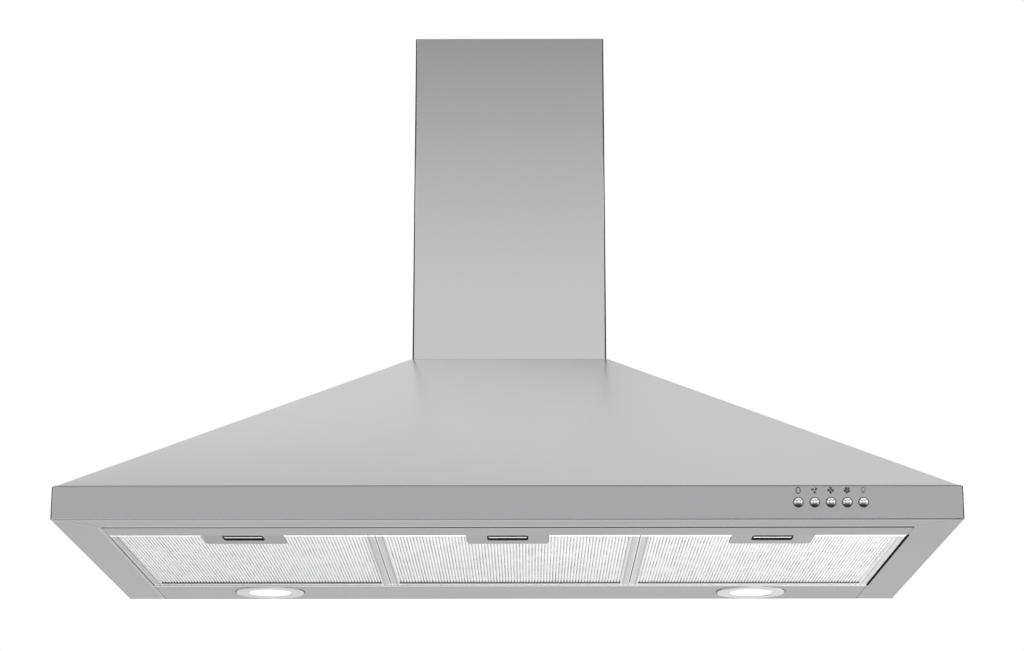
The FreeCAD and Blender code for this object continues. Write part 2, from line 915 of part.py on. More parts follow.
def make_motor():
    bracket = node("motor_bracket")
    level = volute_half
    pad(bracket, "YZ", level, S.bracket_plate, circle(0, 0, guard_radius))
    ring = (S.motor_radius + guard_radius) / 2
    vents = ring_places(ring, int(S.vent_hole_count.value), 0)
    holes = [circle(y, z, S.vent_hole_radius) for y, z in vents]
    screws = holes_at(ring_places(guard_screw_ring))
    drill(bracket, "YZ", level, S.bracket_plate, *holes, *screws)
    place(bracket, 0, blower_y, blower_z)

    casing = node("motor_casing")
    start = level - S.motor_length
    bevel = S.motor_bevel
    bore = S.shaft_radius + S.shaft_play
    profile = [
        (start, bore),
        (start, S.motor_radius - S.motor_nose_drop),
        (start + S.motor_nose_length, S.motor_radius),
        (level - bevel, S.motor_radius),
        (level, S.motor_radius - bevel),
        (level, bore),
    ]
    turn(casing, "X", profile)
    place(casing, 0, blower_y, blower_z)


def make_impeller():
    body = node("impeller")
    reach = wheel_half
    bore = S.shaft_radius + S.shaft_play
    inner = S.wheel_radius - S.blade_depth
    disc = S.wheel_disc
    blade_half = S.blade_gauge / 2
    blade_outline = box_outline(inner, -blade_half, S.wheel_radius - S.blade_inset, blade_half)
    pad(body, "YZ", -disc / 2, disc, circle(0, 0, S.wheel_radius), circle(0, 0, bore))
    rim = (circle(0, 0, S.wheel_radius), circle(0, 0, inner + S.wheel_rim_inset))
    for start in (-reach, reach - S.wheel_rim):
        pad(body, "YZ", start, S.wheel_rim, *rim)
    hub = (circle(0, 0, S.hub_radius), circle(0, 0, bore))
    pad(body, "YZ", -disc / 2 - S.hub_length, S.hub_length, *hub)
    blade = pad(body, "YZ", S.blade_inset - reach, (reach - S.blade_inset) * 2, blade_outline)
    repeat_about(body, blade, "X_Axis", S.blade_count)
    place(body, 0, blower_y, blower_z)

    shaft = node("motor_shaft")
    nut_end = -(disc / 2 + S.hub_length + S.nut_thickness)
    end = nut_end - S.shaft_overhang
    pad(shaft, "YZ", end, volute_half - end - S.shaft_end_gap, circle(0, 0, S.shaft_radius))
    place(shaft, 0, blower_y, blower_z)

    nut = node("impeller_nut")
    corners = ring_places(S.nut_radius, 6, 0)
    pad(nut, "YZ", nut_end, S.nut_thickness, corners, circle(0, 0, bore))
    place(nut, 0, blower_y, blower_z)


# ---------------------------------------------------------------- outlet and damper

damper_level = plate_top + S.damper_height
knuckle_radius = S.pin_radius + S.pin_play + S.knuckle_wall


def make_outlet_collar():
    body = node("outlet_collar")
    radius = S.collar_radius
    inner = radius - S.collar_wall
    rim = radius + S.collar_flange
    bead = radius + S.collar_bead_reach
    bead_top = S.collar_bead_level + S.collar_bead_height
    # The duct slides down to the bead, clear of the flange's screws.
    profile = [
        (inner, 0),
        (rim, 0),
        (rim, S.collar_wall),
        (radius, S.collar_wall),
        (radius, S.collar_bead_level),
        (bead, S.collar_bead_level),
        (bead, bead_top),
        (radius, bead_top),
        (radius, S.collar_height),
        (inner, S.collar_height),
    ]
    turn(body, "Z", profile)
    # Two inner bosses hold the damper's pin, in holes that stop within the collar's wall.
    blind = radius - S.collar_wall / 2
    boss = blind - (inner - S.pin_boss_length)
    for start in (-blind, blind - boss):
        pad(body, "YZ", start, boss, circle(0, S.damper_height, knuckle_radius))
    pocket(body, "YZ", -blind, blind * 2, circle(0, S.damper_height, S.pin_radius + S.pin_play))
    drill(body, "XY", 0, S.collar_wall, *holes_at(ring_places(collar_screw_ring)))
    place(body, 0, blower_y, plate_top)


def make_damper():
    pin = node("damper_pin")
    span = S.collar_radius - S.collar_wall
    pad(pin, "YZ", -span, span * 2, circle(0, 0, S.pin_radius))
    place(pin, 0, blower_y, damper_level)

    flap_radius = S.collar_radius - S.collar_wall - S.flap_gap
    plate_edge = knuckle_radius + S.edge_gap
    half = S.flap_gauge / 2
    far = S.knuckle_outer
    near = S.knuckle_inner
    for name, side in (("damper_flap_front", -1), ("damper_flap_rear", 1)):
        body = node(name)
        pad(body, "XY", -half, S.flap_gauge, circle(0, 0, flap_radius))
        # Cut away the other flap's half.
        wide = flap_radius + PAST
        low, high = (-wide, plate_edge) if side > 0 else (-plate_edge, wide)
        drill(body, "XY", -half, S.flap_gauge, box_outline(-wide, low, wide, high))
        spans = [(-near + S.edge_gap, near - S.edge_gap)] if side > 0 else [(-far, -near), (near, far)]
        edge = plate_edge + PAST
        web = (length(0), edge) if side > 0 else (-edge, length(0))
        for left, right in spans:
            pad(body, "XY", -half, S.flap_gauge, box_outline(left, web[0], right, web[1]))
            pad(body, "YZ", left, right - left, circle(0, 0, knuckle_radius))
        pocket(body, "YZ", -wide, wide * 2, circle(0, 0, S.pin_radius + S.pin_play))
        place(body, 0, blower_y, damper_level)


# ---------------------------------------------------------------- electrics


def make_terminal_box():
    body = node("terminal_box")
    wall = S.box_wall
    left = S.box_left
    right = S.box_left + S.box_width
    base = S.box_base
    top = S.box_base + S.box_height
    box_front = panel_face - S.box_depth
    pad(body, "XZ", box_front, S.box_depth, box_outline(left, base, right, top))
    hollow = box_outline(left + wall, base + wall, right - wall, top - wall)
    pocket(body, "XZ", box_front - PAST, S.box_depth - wall + PAST, hollow)

    lid = node("terminal_box_lid")
    pad(lid, "XZ", box_front - wall, wall, box_outline(left, base, right, top))

    capacitor = node("capacitor")
    start = left + (S.box_width - S.capacitor_length) / 2
    radius = S.capacitor_radius
    bevel = S.capacitor_bevel
    profile = [
        (0, 0),
        (0, radius - bevel),
        (bevel, radius),
        (S.capacitor_length, radius),
        (S.capacitor_length, 0),
    ]
    turn(capacitor, "X", profile)
    place(capacitor, start, box_front + S.box_depth / 2, base + wall + radius + S.edge_gap)


def lead(points):
    """A round lead along straight runs joined by tangent arcs."""
    spots = [FreeCAD.Vector(*(length(amount).value for amount in point)) for point in points]
    edges = []
    start = spots[0]
    for before, corner, after in zip(spots, spots[1:], spots[2:]):
        back = (before - corner).normalize()
        ahead = (after - corner).normalize()
        half_turn = (math.pi - back.getAngle(ahead)) / 2
        shorter = min(before.distanceToPoint(corner), after.distanceToPoint(corner))
        reach = BEND_SHARE * shorter
        radius = reach / math.tan(half_turn)
        enter = corner + back * reach
        leave = corner + ahead * reach
        inward = (back + ahead).normalize()
        centre = corner + inward * (radius / math.cos(half_turn))
        middle = centre - inward * radius
        edges.append(Part.LineSegment(start, enter).toShape())
        edges.append(Part.Arc(enter, middle, leave).toShape())
        start = leave
    edges.append(Part.LineSegment(start, spots[-1]).toShape())
    path = Part.Wire(edges)
    section = Part.Wire([Part.makeCircle(S.lead_radius.value, spots[0], spots[1] - spots[0])])
    tube = path.makePipeShell([section], True, False)
    print(f"lead: volume {tube.Volume:.0f}, section by length "
          f"{math.pi * S.lead_radius.value ** 2 * path.Length:.0f}")
    return tube


def make_wiring():
    """The leads of the switches, the lamps and the motor, each ending on the terminal box."""
    floor = S.lead_floor
    base = S.box_base
    lamp_top = S.lamp_body_height
    step = S.lead_pitch
    behind = panel_face - step
    left = S.box_left
    switch_back = front + S.sheet_gauge + S.switch_depth
    switch_x = button_centre + S.switch_exit_across
    switch_z = button_level + S.switch_exit_up
    motor_face = volute_half + S.bracket_plate
    motor_z = blower_z - S.motor_radius / 2
    entry = base + S.box_height / 2
    routes = [
        [
            (switch_x, switch_back, switch_z),
            (switch_x, switch_back + step, switch_z),
            (switch_x, switch_back / 2, floor - step / 2),
            (switch_x, lamp_y, floor - S.lead_radius),
            (left + step * 5, behind, floor - S.lead_radius),
            (left + step * 5, behind, base),
        ],
        [
            (lamp_x, lamp_y, lamp_top),
            (lamp_x, lamp_y, floor),
            (left + step * 4, behind - step, floor),
            (left + step * 4, behind - step, base),
        ],
        [
            (-lamp_x, lamp_y, lamp_top),
            (-lamp_x, lamp_y, floor),
            (-left, behind, floor),
            (left + step * 2, behind, floor),
            (left + step * 2, behind, base),
        ],
        [
            (motor_face, blower_y, motor_z),
            (motor_face + step * 2, blower_y, motor_z),
            (motor_face + step * 2, behind, entry),
            (left, behind, entry),
        ],
    ]
    wiring = doc.addObject("Part::Feature", "wiring")
    wiring.Label = "wiring"
    wiring.Shape = Part.makeCompound([lead(points) for points in routes])
    wiring.Placement = FreeCAD.Placement()
    nodes.append(wiring)


def make_cable_grommet():
    body = node("cable_grommet")
    neck = S.grommet_radius - S.mesh_gap
    rim = S.grommet_flange_radius
    lip = S.plate_gauge
    top = S.plate_gauge
    profile = [
        (S.grommet_bore_radius, -lip),
        (rim, -lip),
        (rim, 0),
        (neck, 0),
        (neck, top),
        (rim, top),
        (rim, top + lip / 2),
        (neck, top + lip),
        (S.grommet_bore_radius, top + lip),
    ]
    turn(body, "Z", profile)
    place(body, grommet_x, grommet_y, plate_base)


# ---------------------------------------------------------------- grease filters


def make_filter(number, step):
    """One filter with its handle, latch and spring, centred on the given bay."""
    x = (filter_width + S.filter_gap) * step
    half = filter_width / 2
    gauge = S.filter_gauge
    border = S.filter_border
    base = S.filter_lift
    depth = filter_back - filter_front
    notch = S.handle_width / 2 + S.seat_gap
    notch_depth = S.handle_depth + S.seat_gap

    frame = node(f"filter_frame_{number}")
    outer = box_outline(-half, 0, half, depth)
    inner = box_outline(border - half, border, half - border, depth - border)
    pad(frame, "XY", 0, S.filter_thickness, outer, inner)
    channel_outer = box_outline(gauge - half, gauge, half - gauge, depth - gauge)
    core = border + PAST
    channel_inner = box_outline(core - half, core, half - core, depth - core)
    pocket(frame, "XY", gauge, S.filter_thickness - gauge * 2, channel_outer, channel_inner)
    drill(frame, "XY", 0, S.filter_thickness, box_outline(-notch, -PAST, notch, core))
    for side in (-1, 1):
        middle = S.filter_tab_spacing * side / 2
        reach = S.filter_tab_width / 2
        tab = box_outline(middle - reach, depth - gauge, middle + reach, depth + S.filter_tab_reach)
        pad(frame, "XY", S.filter_thickness - gauge, gauge, tab)
    place(frame, x, filter_front, base)

    mesh = node(f"filter_mesh_{number}")
    edge = gauge + S.mesh_gap
    outline = [
        (edge - half, edge),
        (-notch, edge),
        (-notch, notch_depth),
        (notch, notch_depth),
        (notch, edge),
        (half - edge, edge),
        (half - edge, depth - edge),
        (edge - half, depth - edge),
    ]
    pad(mesh, "XY", edge, S.filter_thickness - edge * 2, outline)
    place(mesh, x, filter_front, base)

    make_handle(number, x, base)
    make_latch(number, x, base)


latch_level_top = S.latch_level + S.latch_gauge
window_half = S.latch_width / 2 + S.seat_gap
grip_front = S.slot_offset + S.grip_offset
carriage_half = S.latch_width / 2 + S.latch_shoulder
carriage_front = S.handle_wall + S.latch_front_gap
carriage_back = S.handle_depth - S.handle_wall - S.spring_packed - S.latch_travel


def make_handle(number, x, base):
    handle = node(f"filter_handle_{number}")
    wall = S.handle_wall
    half = S.handle_width / 2
    depth = S.handle_depth
    top = S.filter_thickness
    block = pad(handle, "XY", 0, top, box_outline(-half, 0, half, depth))
    rear_corners = [(-half, depth), (half, depth)]
    round_edges(handle, block, "Z", S.handle_radius, rear_corners)
    roof = latch_level_top + S.seat_gap
    cavity_half = carriage_half + S.latch_cavity_margin
    cavity = box_outline(-cavity_half, wall, cavity_half, depth - wall)
    pocket(handle, "XY", wall, roof - wall, cavity)
    slot_half = S.slot_width / 2
    slot_back = S.slot_offset + S.slot_depth
    slot = drill(handle, "XY", 0, wall, box_outline(-slot_half, S.slot_offset, slot_half, slot_back))
    slot_corners = both_sides(slot_half, S.slot_offset) + both_sides(slot_half, slot_back)
    round_edges(handle, slot, "Z", S.slot_radius, slot_corners)
    low = S.latch_level - S.seat_gap
    window = box_outline(-window_half, low, window_half, roof)
    drill(handle, "XZ", 0, wall, window)
    place(handle, x, filter_front, base)


def make_latch(number, x, base):
    latch = node(f"latch_{number}")
    level = S.latch_level
    gauge = S.latch_gauge
    tongue_half = S.latch_width / 2
    reach = S.filter_end_gap + S.sheet_gauge + S.latch_catch
    tongue = box_outline(-tongue_half, -reach, tongue_half, carriage_front + PAST)
    pad(latch, "XY", level, gauge, tongue)
    carriage = box_outline(-carriage_half, carriage_front, carriage_half, carriage_back)
    pad(latch, "XY", level, gauge, carriage)
    grip_half = S.grip_width / 2
    grip = box_outline(-grip_half, grip_front, grip_half, grip_front + S.grip_depth)
    grip_base = S.seat_gap
    pad(latch, "XY", grip_base, latch_level_top - grip_base, grip)
    push_base = S.handle_wall + S.seat_gap
    pusher_front = carriage_back - S.pusher_depth / 2
    pusher_back = carriage_back + S.pusher_depth / 2
    pusher = box_outline(-tongue_half, pusher_front, tongue_half, pusher_back)
    pad(latch, "XY", push_base, latch_level_top - push_base, pusher)
    place(latch, x, filter_front, base)

    spring = node(f"latch_spring_{number}")
    strip = S.spring_strip
    start = pusher_back + S.edge_gap
    end = S.handle_depth - S.handle_wall - S.edge_gap
    folds = int(S.spring_folds.value)
    pitch = (end - start) / folds
    swing = S.spring_half_width
    near_side = []
    far_side = []
    for fold in range(folds + 1):
        along = start + pitch * fold
        across = swing * (1 if fold % 2 else -1)
        near_side.append((across - strip, along))
        far_side.append((across + strip, along))
    pad(spring, "XY", push_base + S.edge_gap, S.spring_height, near_side + far_side[::-1])
    place(spring, x, filter_front, base)


# ---------------------------------------------------------------- assembly

make_canopy_shell()
make_fascia_frame()
make_back_panel()
make_front_rail()
make_lamp_panel()
make_top_plate()
make_chimney_cover()
make_upper_chimney()
make_wall_bracket()
for lamp_side, lamp_sign in (("left", -1), ("right", 1)):
    make_lamp(lamp_side, lamp_sign)
for button_name, button_x in zip(BUTTONS, button_places):
    make_button(button_name, button_x)
make_button_bushes()
make_switch_housing()
make_volute("left", -1)
make_volute("right", 1)
make_inlet_guard()
make_motor()
make_impeller()
make_outlet_collar()
make_damper()
make_terminal_box()
make_wiring()
make_cable_grommet()
blower_axis = (0, blower_y, blower_z)
make_screws("canopy_screws", ledge_screws, "XY", canopy_top, True, (0, 0, 0))
collar_origin = (0, blower_y, plate_top + S.collar_wall)
make_screws("collar_screws", ring_places(collar_screw_ring), "XY", 0, True, collar_origin)
flange_places = ring_places(guard_screw_ring)
make_screws("motor_screws", flange_places, "YZ", volute_half + S.bracket_plate, True, blower_axis)
make_screws("guard_screws", flange_places, "YZ", -volute_half - S.guard_wire, False, blower_axis)
for filter_number, bay in ((1, -1), (2, 0), (3, 1)):
    make_filter(filter_number, bay)

doc.recompute()

for item in doc.Objects:
    if "Invalid" in item.State or "Error" in item.State:
        raise RuntimeError(f"{item.Label} failed: {item.State}")
    if item.TypeId == "PartDesign::Pocket":
        if item.Shape.Volume > item.BaseFeature.Shape.Volume - 1e-3:
            raise RuntimeError(f"{item.Label} cuts nothing")
for body in nodes:
    if body.Shape.isNull() or not body.Shape.isValid():
        raise RuntimeError(f"{body.Label} has no valid shape")

os.makedirs(PARTS_FOLDER, exist_ok=True)
for body in nodes:
    body.Shape.exportStep(os.path.join(PARTS_FOLDER, f"{body.Label}.step"))
    bounds = body.Shape.BoundBox
    print(f"{body.Label}: {len(body.Shape.Solids)} solid(s), {body.Shape.Volume / 1000:.2f} cm3, "
          f"x {bounds.XMin:.1f} {bounds.XMax:.1f}, y {bounds.YMin:.1f} {bounds.YMax:.1f}, "
          f"z {bounds.ZMin:.1f} {bounds.ZMax:.1f}")
print(f"{len(nodes)} nodes")
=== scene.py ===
import math

import bmesh
import bpy
from mathutils import Matrix, Vector


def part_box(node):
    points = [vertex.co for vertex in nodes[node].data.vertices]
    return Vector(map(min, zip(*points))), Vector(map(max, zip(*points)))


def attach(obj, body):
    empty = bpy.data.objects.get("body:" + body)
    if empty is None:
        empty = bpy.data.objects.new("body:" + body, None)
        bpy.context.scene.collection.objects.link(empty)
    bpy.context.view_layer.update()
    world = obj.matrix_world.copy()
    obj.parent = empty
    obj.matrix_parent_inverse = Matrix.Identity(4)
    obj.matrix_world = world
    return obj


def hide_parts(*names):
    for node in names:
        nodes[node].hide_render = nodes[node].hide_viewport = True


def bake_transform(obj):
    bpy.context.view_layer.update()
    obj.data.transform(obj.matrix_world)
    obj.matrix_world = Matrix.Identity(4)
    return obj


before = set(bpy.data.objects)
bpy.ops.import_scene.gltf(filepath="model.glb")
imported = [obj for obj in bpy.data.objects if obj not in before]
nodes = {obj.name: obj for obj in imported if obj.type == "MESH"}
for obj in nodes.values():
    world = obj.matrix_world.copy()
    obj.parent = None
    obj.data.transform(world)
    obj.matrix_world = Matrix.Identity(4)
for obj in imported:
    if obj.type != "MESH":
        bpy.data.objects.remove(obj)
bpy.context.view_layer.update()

MM = 0.001
scene = bpy.context.scene

# The main planes and edges of the hood, read from its pieces
fascia_low, fascia_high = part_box("fascia_frame")
canopy_low, canopy_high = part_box("canopy_shell")
chimney_low, chimney_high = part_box("chimney_cover")
rail_low, rail_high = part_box("front_rail")
panel_low, panel_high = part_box("lamp_panel")
FRONT = fascia_low.y
HALF_WIDTH = fascia_high.x
FASCIA_TOP = fascia_high.z
BAY_HALF = rail_high.x
FILTERS = (1, 2, 3)
LAMPS = ("left", "right")
BUTTONS = ("button_off", "button_speed_1", "button_speed_2", "button_speed_3", "button_light")

FILTER_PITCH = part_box("filter_frame_3")[0].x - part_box("filter_frame_2")[0].x
FILTER_BORDER = 9.5 * MM
FILTER_HALF = (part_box("filter_frame_2")[1].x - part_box("filter_frame_2")[0].x) / 2

# The filters' pressed ribs, which run front to back, and the stitches across them
RIB_PITCH = 3.3 * MM
RIB_HEIGHT = 1.3 * MM
RIB_PROFILE = (0.0, 0.55, 0.9, 1.0, 0.9, 0.55)
STITCH_PITCH = 2.4 * MM

# The finger slot in each filter's handle, from the handle's front edge
SLOT_HALF = 21.0 * MM
SLOT_FRONT = 3.0 * MM
SLOT_BACK = 31.0 * MM
GRIP_FRONT = 10.0 * MM
GRIP_BACK = 18.0 * MM

# ------------------------------------------------------------------ node recipes


class Recipe:
    """A material's nodes. Places are in metres on the piece itself, so detail has its true size."""

    def __init__(self, name, tree=None):
        if tree is None:
            self.material = bpy.data.materials.new(name)
            self.material.use_nodes = True
            tree = self.material.node_tree
            self.shader = tree.nodes["Principled BSDF"]
        self.tree = tree
        self.place = self.add("ShaderNodeTexCoord").outputs["Object"]

    def add(self, kind, **settings):
        node = self.tree.nodes.new(kind)
        for key, value in settings.items():
            setattr(node, key, value)
        return node

    def feed(self, socket, value):
        if isinstance(value, bpy.types.NodeSocket):
            self.tree.links.new(value, socket)
        else:
            socket.default_value = value

    def math(self, operation, *values):
        node = self.add("ShaderNodeMath", operation=operation)
        for socket, value in zip(node.inputs, values):
            self.feed(socket, value)
        return node.outputs[0]

    def product(self, value, *others):
        for other in others:
            value = self.math("MULTIPLY", value, other)
        return value

    def mix(self, share, first, second):
        """The first number where the share is 0, and the second where it is 1."""
        node = self.add("ShaderNodeMix", data_type="FLOAT")
        for socket, value in zip((node.inputs[0], node.inputs[2], node.inputs[3]), (share, first, second)):
            self.feed(socket, value)
        return node.outputs[0]

    def axes(self, vector=None):
        node = self.add("ShaderNodeSeparateXYZ")
        self.feed(node.inputs[0], vector or self.place)
        return node.outputs

    def from_filter(self, x):
        """Distance across from the middle of the nearest filter."""
        return self.math("PINGPONG", x, FILTER_PITCH / 2)

    def stretch(self, scale):
        node = self.add("ShaderNodeMapping")
        self.feed(node.inputs["Vector"], self.place)
        node.inputs["Scale"].default_value = scale
        return node.outputs[0]

    def noise(self, vector, scale=1.0, detail=2.0, rough=0.5, distortion=0.0):
        node = self.add("ShaderNodeTexNoise")
        self.feed(node.inputs["Vector"], vector)
        node.inputs["Scale"].default_value = scale
        node.inputs["Detail"].default_value = detail
        node.inputs["Roughness"].default_value = rough
        node.inputs["Distortion"].default_value = distortion
        return node.outputs["Fac"]

    def cells(self, vector, scale, feature="F1", output="Distance"):
        node = self.add("ShaderNodeTexVoronoi", feature=feature)
        self.feed(node.inputs["Vector"], vector)
        node.inputs["Scale"].default_value = scale
        return node.outputs[output]

    def span(self, value, low, high, new_low, new_high, smooth=False):
        kind = "SMOOTHSTEP" if smooth else "LINEAR"
        node = self.add("ShaderNodeMapRange", interpolation_type=kind)
        for socket, amount in zip(node.inputs, (value, low, high, new_low, new_high)):
            self.feed(socket, amount)
        return node.outputs[0]

    def blend(self, share, first, second):
        node = self.add("ShaderNodeMix", data_type="RGBA")
        self.feed(node.inputs[0], share)
        for socket, colour in zip((node.inputs[6], node.inputs[7]), (first, second)):
            self.feed(socket, colour if isinstance(colour, bpy.types.NodeSocket) else (*colour, 1))
        return node.outputs[2]

    def shade(self, colour, factor):
        """A colour made lighter or darker by a factor that varies over the surface."""
        node = self.add("ShaderNodeVectorMath", operation="SCALE")
        self.feed(node.inputs[0], colour)
        self.feed(node.inputs["Scale"], factor)
        return node.outputs[0]

    def bump(self, height, distance, strength):
        node = self.add("ShaderNodeBump")
        self.feed(node.inputs["Height"], height)
        node.inputs["Distance"].default_value = distance
        node.inputs["Strength"].default_value = strength
        return node.outputs[0]

    def set(self, **sockets):
        for key, value in sockets.items():
            name = key.replace("_", " ")
            self.feed(self.shader.inputs[name], value)

    def band(self, value, middle, half, soft):
        """1 where a value is within half of the middle, fading out over soft."""
        away = self.math("ABSOLUTE", self.math("SUBTRACT", value, middle))
        return self.span(away, half, half + soft, 1.0, 0.0, smooth=True)


GRAIN_ALONG = 6.0
GRAIN_ACROSS = 1500.0
GRAIN_COARSE = 260.0
FINE_SHARE = 0.65


def grain(recipe, along):
    """Fine brush lines along an axis, with a few broader streaks among them."""
    scales = [GRAIN_ACROSS] * 3
    coarse_scales = [GRAIN_COARSE] * 3
    for axis in along:
        scales[axis] = GRAIN_ALONG
        coarse_scales[axis] = GRAIN_ALONG / 2
    fine = recipe.noise(recipe.stretch(scales), detail=3.0, rough=0.6)
    coarse = recipe.noise(recipe.stretch(coarse_scales), detail=2.0)
    return recipe.mix(1.0 - FINE_SHARE, fine, coarse)


MARK_CONTRAST = 0.012
TINT_CONTRAST = 0.01
GRAIN_DEPTH = 0.01 * MM


def finish_steel(recipe, tone, lines, rough, contrast, marks, bump, gloss):
    """Brushed sheet: the lines vary its tone, roughness and height, and hands leave faint marks."""
    smudge = recipe.noise(recipe.place, scale=9.0, detail=4.0, rough=0.55)
    sheen = recipe.span(lines, 0.3, 0.7, 1.0 - contrast, 1.0 + contrast)
    cloud = recipe.span(smudge, 0.3, 0.7, 1.0 - MARK_CONTRAST * marks, 1.0 + MARK_CONTRAST * marks)
    darker = [channel * (1 - TINT_CONTRAST) for channel in tone]
    lighter = [channel * (1 + TINT_CONTRAST) for channel in tone]
    tint = recipe.blend(smudge, darker, lighter)
    colour = recipe.shade(tint, recipe.math("MULTIPLY", sheen, cloud))
    patch = recipe.span(smudge, 0.35, 0.75, -0.01 * marks, 0.015 * marks)
    streaks = recipe.span(lines, 0.25, 0.75, rough - 0.02 * gloss, rough + 0.025 * gloss)
    roughness = recipe.math("ADD", streaks, patch)
    recipe.set(Base_Color=colour, Roughness=roughness, Metallic=1.0)
    recipe.set(Normal=recipe.bump(lines, GRAIN_DEPTH, 0.3 * bump))
    return colour, roughness


CORNER_DEPTH = 2.2 * MM
CORNER_DARK_REFLECTION = 1.3 * MM
CORNER_LIGHT_REFLECTION = 2.3 * MM


def fold_reflection_bands(recipe, x, y, half_width, front):
    """Painted reflections on the upright folds of a sheet front: a dark outer band on each, and a light
    one inside it.
    """
    from_side = recipe.math("SUBTRACT", half_width, recipe.math("ABSOLUTE", x))
    near_front = recipe.math("LESS_THAN", recipe.math("SUBTRACT", y, front), CORNER_DEPTH)
    outer = recipe.math("LESS_THAN", from_side, CORNER_DARK_REFLECTION)
    inner = recipe.math("LESS_THAN", from_side, CORNER_LIGHT_REFLECTION)
    light = recipe.math("MULTIPLY", recipe.math("SUBTRACT", inner, outer), near_front)
    return recipe.math("MULTIPLY", outer, near_front), light


def scaled(recipe, colour, bands):
    """A colour with each band's share of change added to it."""
    factor = 1.0
    for share, amount in bands:
        factor = recipe.math("ADD", factor, recipe.math("MULTIPLY", share, amount))
    return recipe.shade(colour, factor)


# ------------------------------------------------------------------ materials

CANOPY_TONE = (0.70, 0.70, 0.70)
CHIMNEY_TONE = (0.65, 0.646, 0.648)
FASCIA_TONE = (0.55, 0.548, 0.559)
PANEL_TONE = (0.54, 0.538, 0.548)

# Painted highlight and shade bands on the folded sheets: the middle's place, half the width and the soft
# edge
MITRE_HIGHLIGHT = (0.0, 2.2 * MM, 1.2 * MM)
MITRE_SHADOW = (5.8 * MM, 1.2 * MM, 1.2 * MM)
FRONT_HIGHLIGHT = (4.5 * MM, 2.0 * MM, 1.0 * MM)
RAIL_HIGHLIGHT = (rail_low.y - 7.8 * MM, 2.2 * MM, 1.5 * MM)
BAY_HIGHLIGHT = (-BAY_HALF - 2.6 * MM, 1.0 * MM, 0.8 * MM)
PANEL_FOLD_HIGHLIGHT = (panel_low.y, 1.5 * MM, 0.4 * MM)
UNDERSIDE = 0.6 * MM
FOLD_REACH = 1.5 * MM
TOP_FOLD_START = FASCIA_TOP - 1.4 * MM
TOP_FOLD_END = FASCIA_TOP - 0.8 * MM
TOP_FOLD_REACH = 3.0 * MM


def make_canopy_steel():
    recipe = Recipe("canopy_steel")
    lines = grain(recipe, (0,))
    finish_steel(recipe, CANOPY_TONE, lines, 0.30, contrast=0.006, marks=0.4, bump=0.4, gloss=0.4)
    return recipe.material


def make_chimney_steel():
    recipe = Recipe("chimney_steel")
    lines = grain(recipe, (0, 1))
    colour = finish_steel(
        recipe, CHIMNEY_TONE, lines, 0.22, contrast=0.006, marks=0.3, bump=0.25, gloss=0.3
    )[0]
    x, y = recipe.axes()[:2]
    # Painted reflections: a dark band along each upright fold, and a light one inside it.
    painted_dark, light = fold_reflection_bands(recipe, x, y, chimney_high.x, chimney_low.y)
    recipe.set(Base_Color=scaled(recipe, colour, ((painted_dark, -0.96), (light, 0.12))))
    return recipe.material


def make_fascia_steel():
    """The fascia's sheet is folded at the front and mitred at its corners, so its grain turns there."""
    recipe = Recipe("fascia_steel")
    x, y, z = recipe.axes()
    from_side = recipe.math("SUBTRACT", HALF_WIDTH, recipe.math("ABSOLUTE", x))
    from_front = recipe.math("SUBTRACT", y, FRONT)
    difference = recipe.math("SUBTRACT", from_side, from_front)
    on_side = recipe.math("LESS_THAN", difference, 0.0)
    lines = recipe.mix(on_side, grain(recipe, (0,)), grain(recipe, (1,)))
    colour, roughness = finish_steel(
        recipe, FASCIA_TONE, lines, 0.28, contrast=0.007, marks=0.4, bump=0.4, gloss=0.4
    )
    # A painted highlight along each mitre with a painted shadow beside it, and painted highlights on the
    # folds along the front edges
    underside = recipe.math("LESS_THAN", z, UNDERSIDE)
    weld = recipe.product(recipe.band(difference, *MITRE_HIGHLIGHT), underside)
    shadow = recipe.product(recipe.band(difference, *MITRE_SHADOW), underside)
    near_bottom = recipe.math("LESS_THAN", z, FOLD_REACH)
    low_fold_highlight = recipe.product(near_bottom, recipe.math("LESS_THAN", from_front, FOLD_REACH))
    front_fold_highlight = recipe.product(recipe.band(from_front, *FRONT_HIGHLIGHT), underside)
    # Painted reflections at the fascia's upright ends: a dark band, and a light one inside it.
    dark_end_reflection, light_end_reflection = fold_reflection_bands(recipe, x, y, HALF_WIDTH, FRONT)
    # Painted shade along the top fold, and painted highlights along the rail's edge and the bay's edge.
    near_top = recipe.span(z, TOP_FOLD_START, TOP_FOLD_END, 0.0, 1.0)
    top_fold_shade = recipe.product(near_top, recipe.math("LESS_THAN", from_front, TOP_FOLD_REACH))
    in_bay = recipe.math("LESS_THAN", recipe.math("ABSOLUTE", x), BAY_HALF)
    rail_highlight = recipe.product(recipe.band(y, *RAIL_HIGHLIGHT), in_bay, underside)
    behind_rail = recipe.math("GREATER_THAN", y, rail_low.y)
    bay_highlight = recipe.product(recipe.band(x, *BAY_HIGHLIGHT), underside, behind_rail)
    bands = (
        (weld, 0.28),
        (bay_highlight, 0.3),
        (shadow, -0.28),
        (low_fold_highlight, 0.45),
        (front_fold_highlight, 0.28),
        (top_fold_shade, -0.3),
        (rail_highlight, 0.28),
        (dark_end_reflection, -0.95),
        (light_end_reflection, 0.06),
    )
    recipe.set(Base_Color=scaled(recipe, colour, bands))
    recipe.set(Roughness=recipe.math("ADD", roughness, recipe.product(low_fold_highlight, 0.35)))
    # The lower fold is made rougher and partly non-metallic, more so towards the left, so the fill light
    # brightens it there.
    matt = recipe.math("MULTIPLY", low_fold_highlight, recipe.span(x, -HALF_WIDTH, HALF_WIDTH, 0.23, 0.03))
    recipe.set(Metallic=recipe.math("SUBTRACT", 1.0, matt))
    return recipe.material


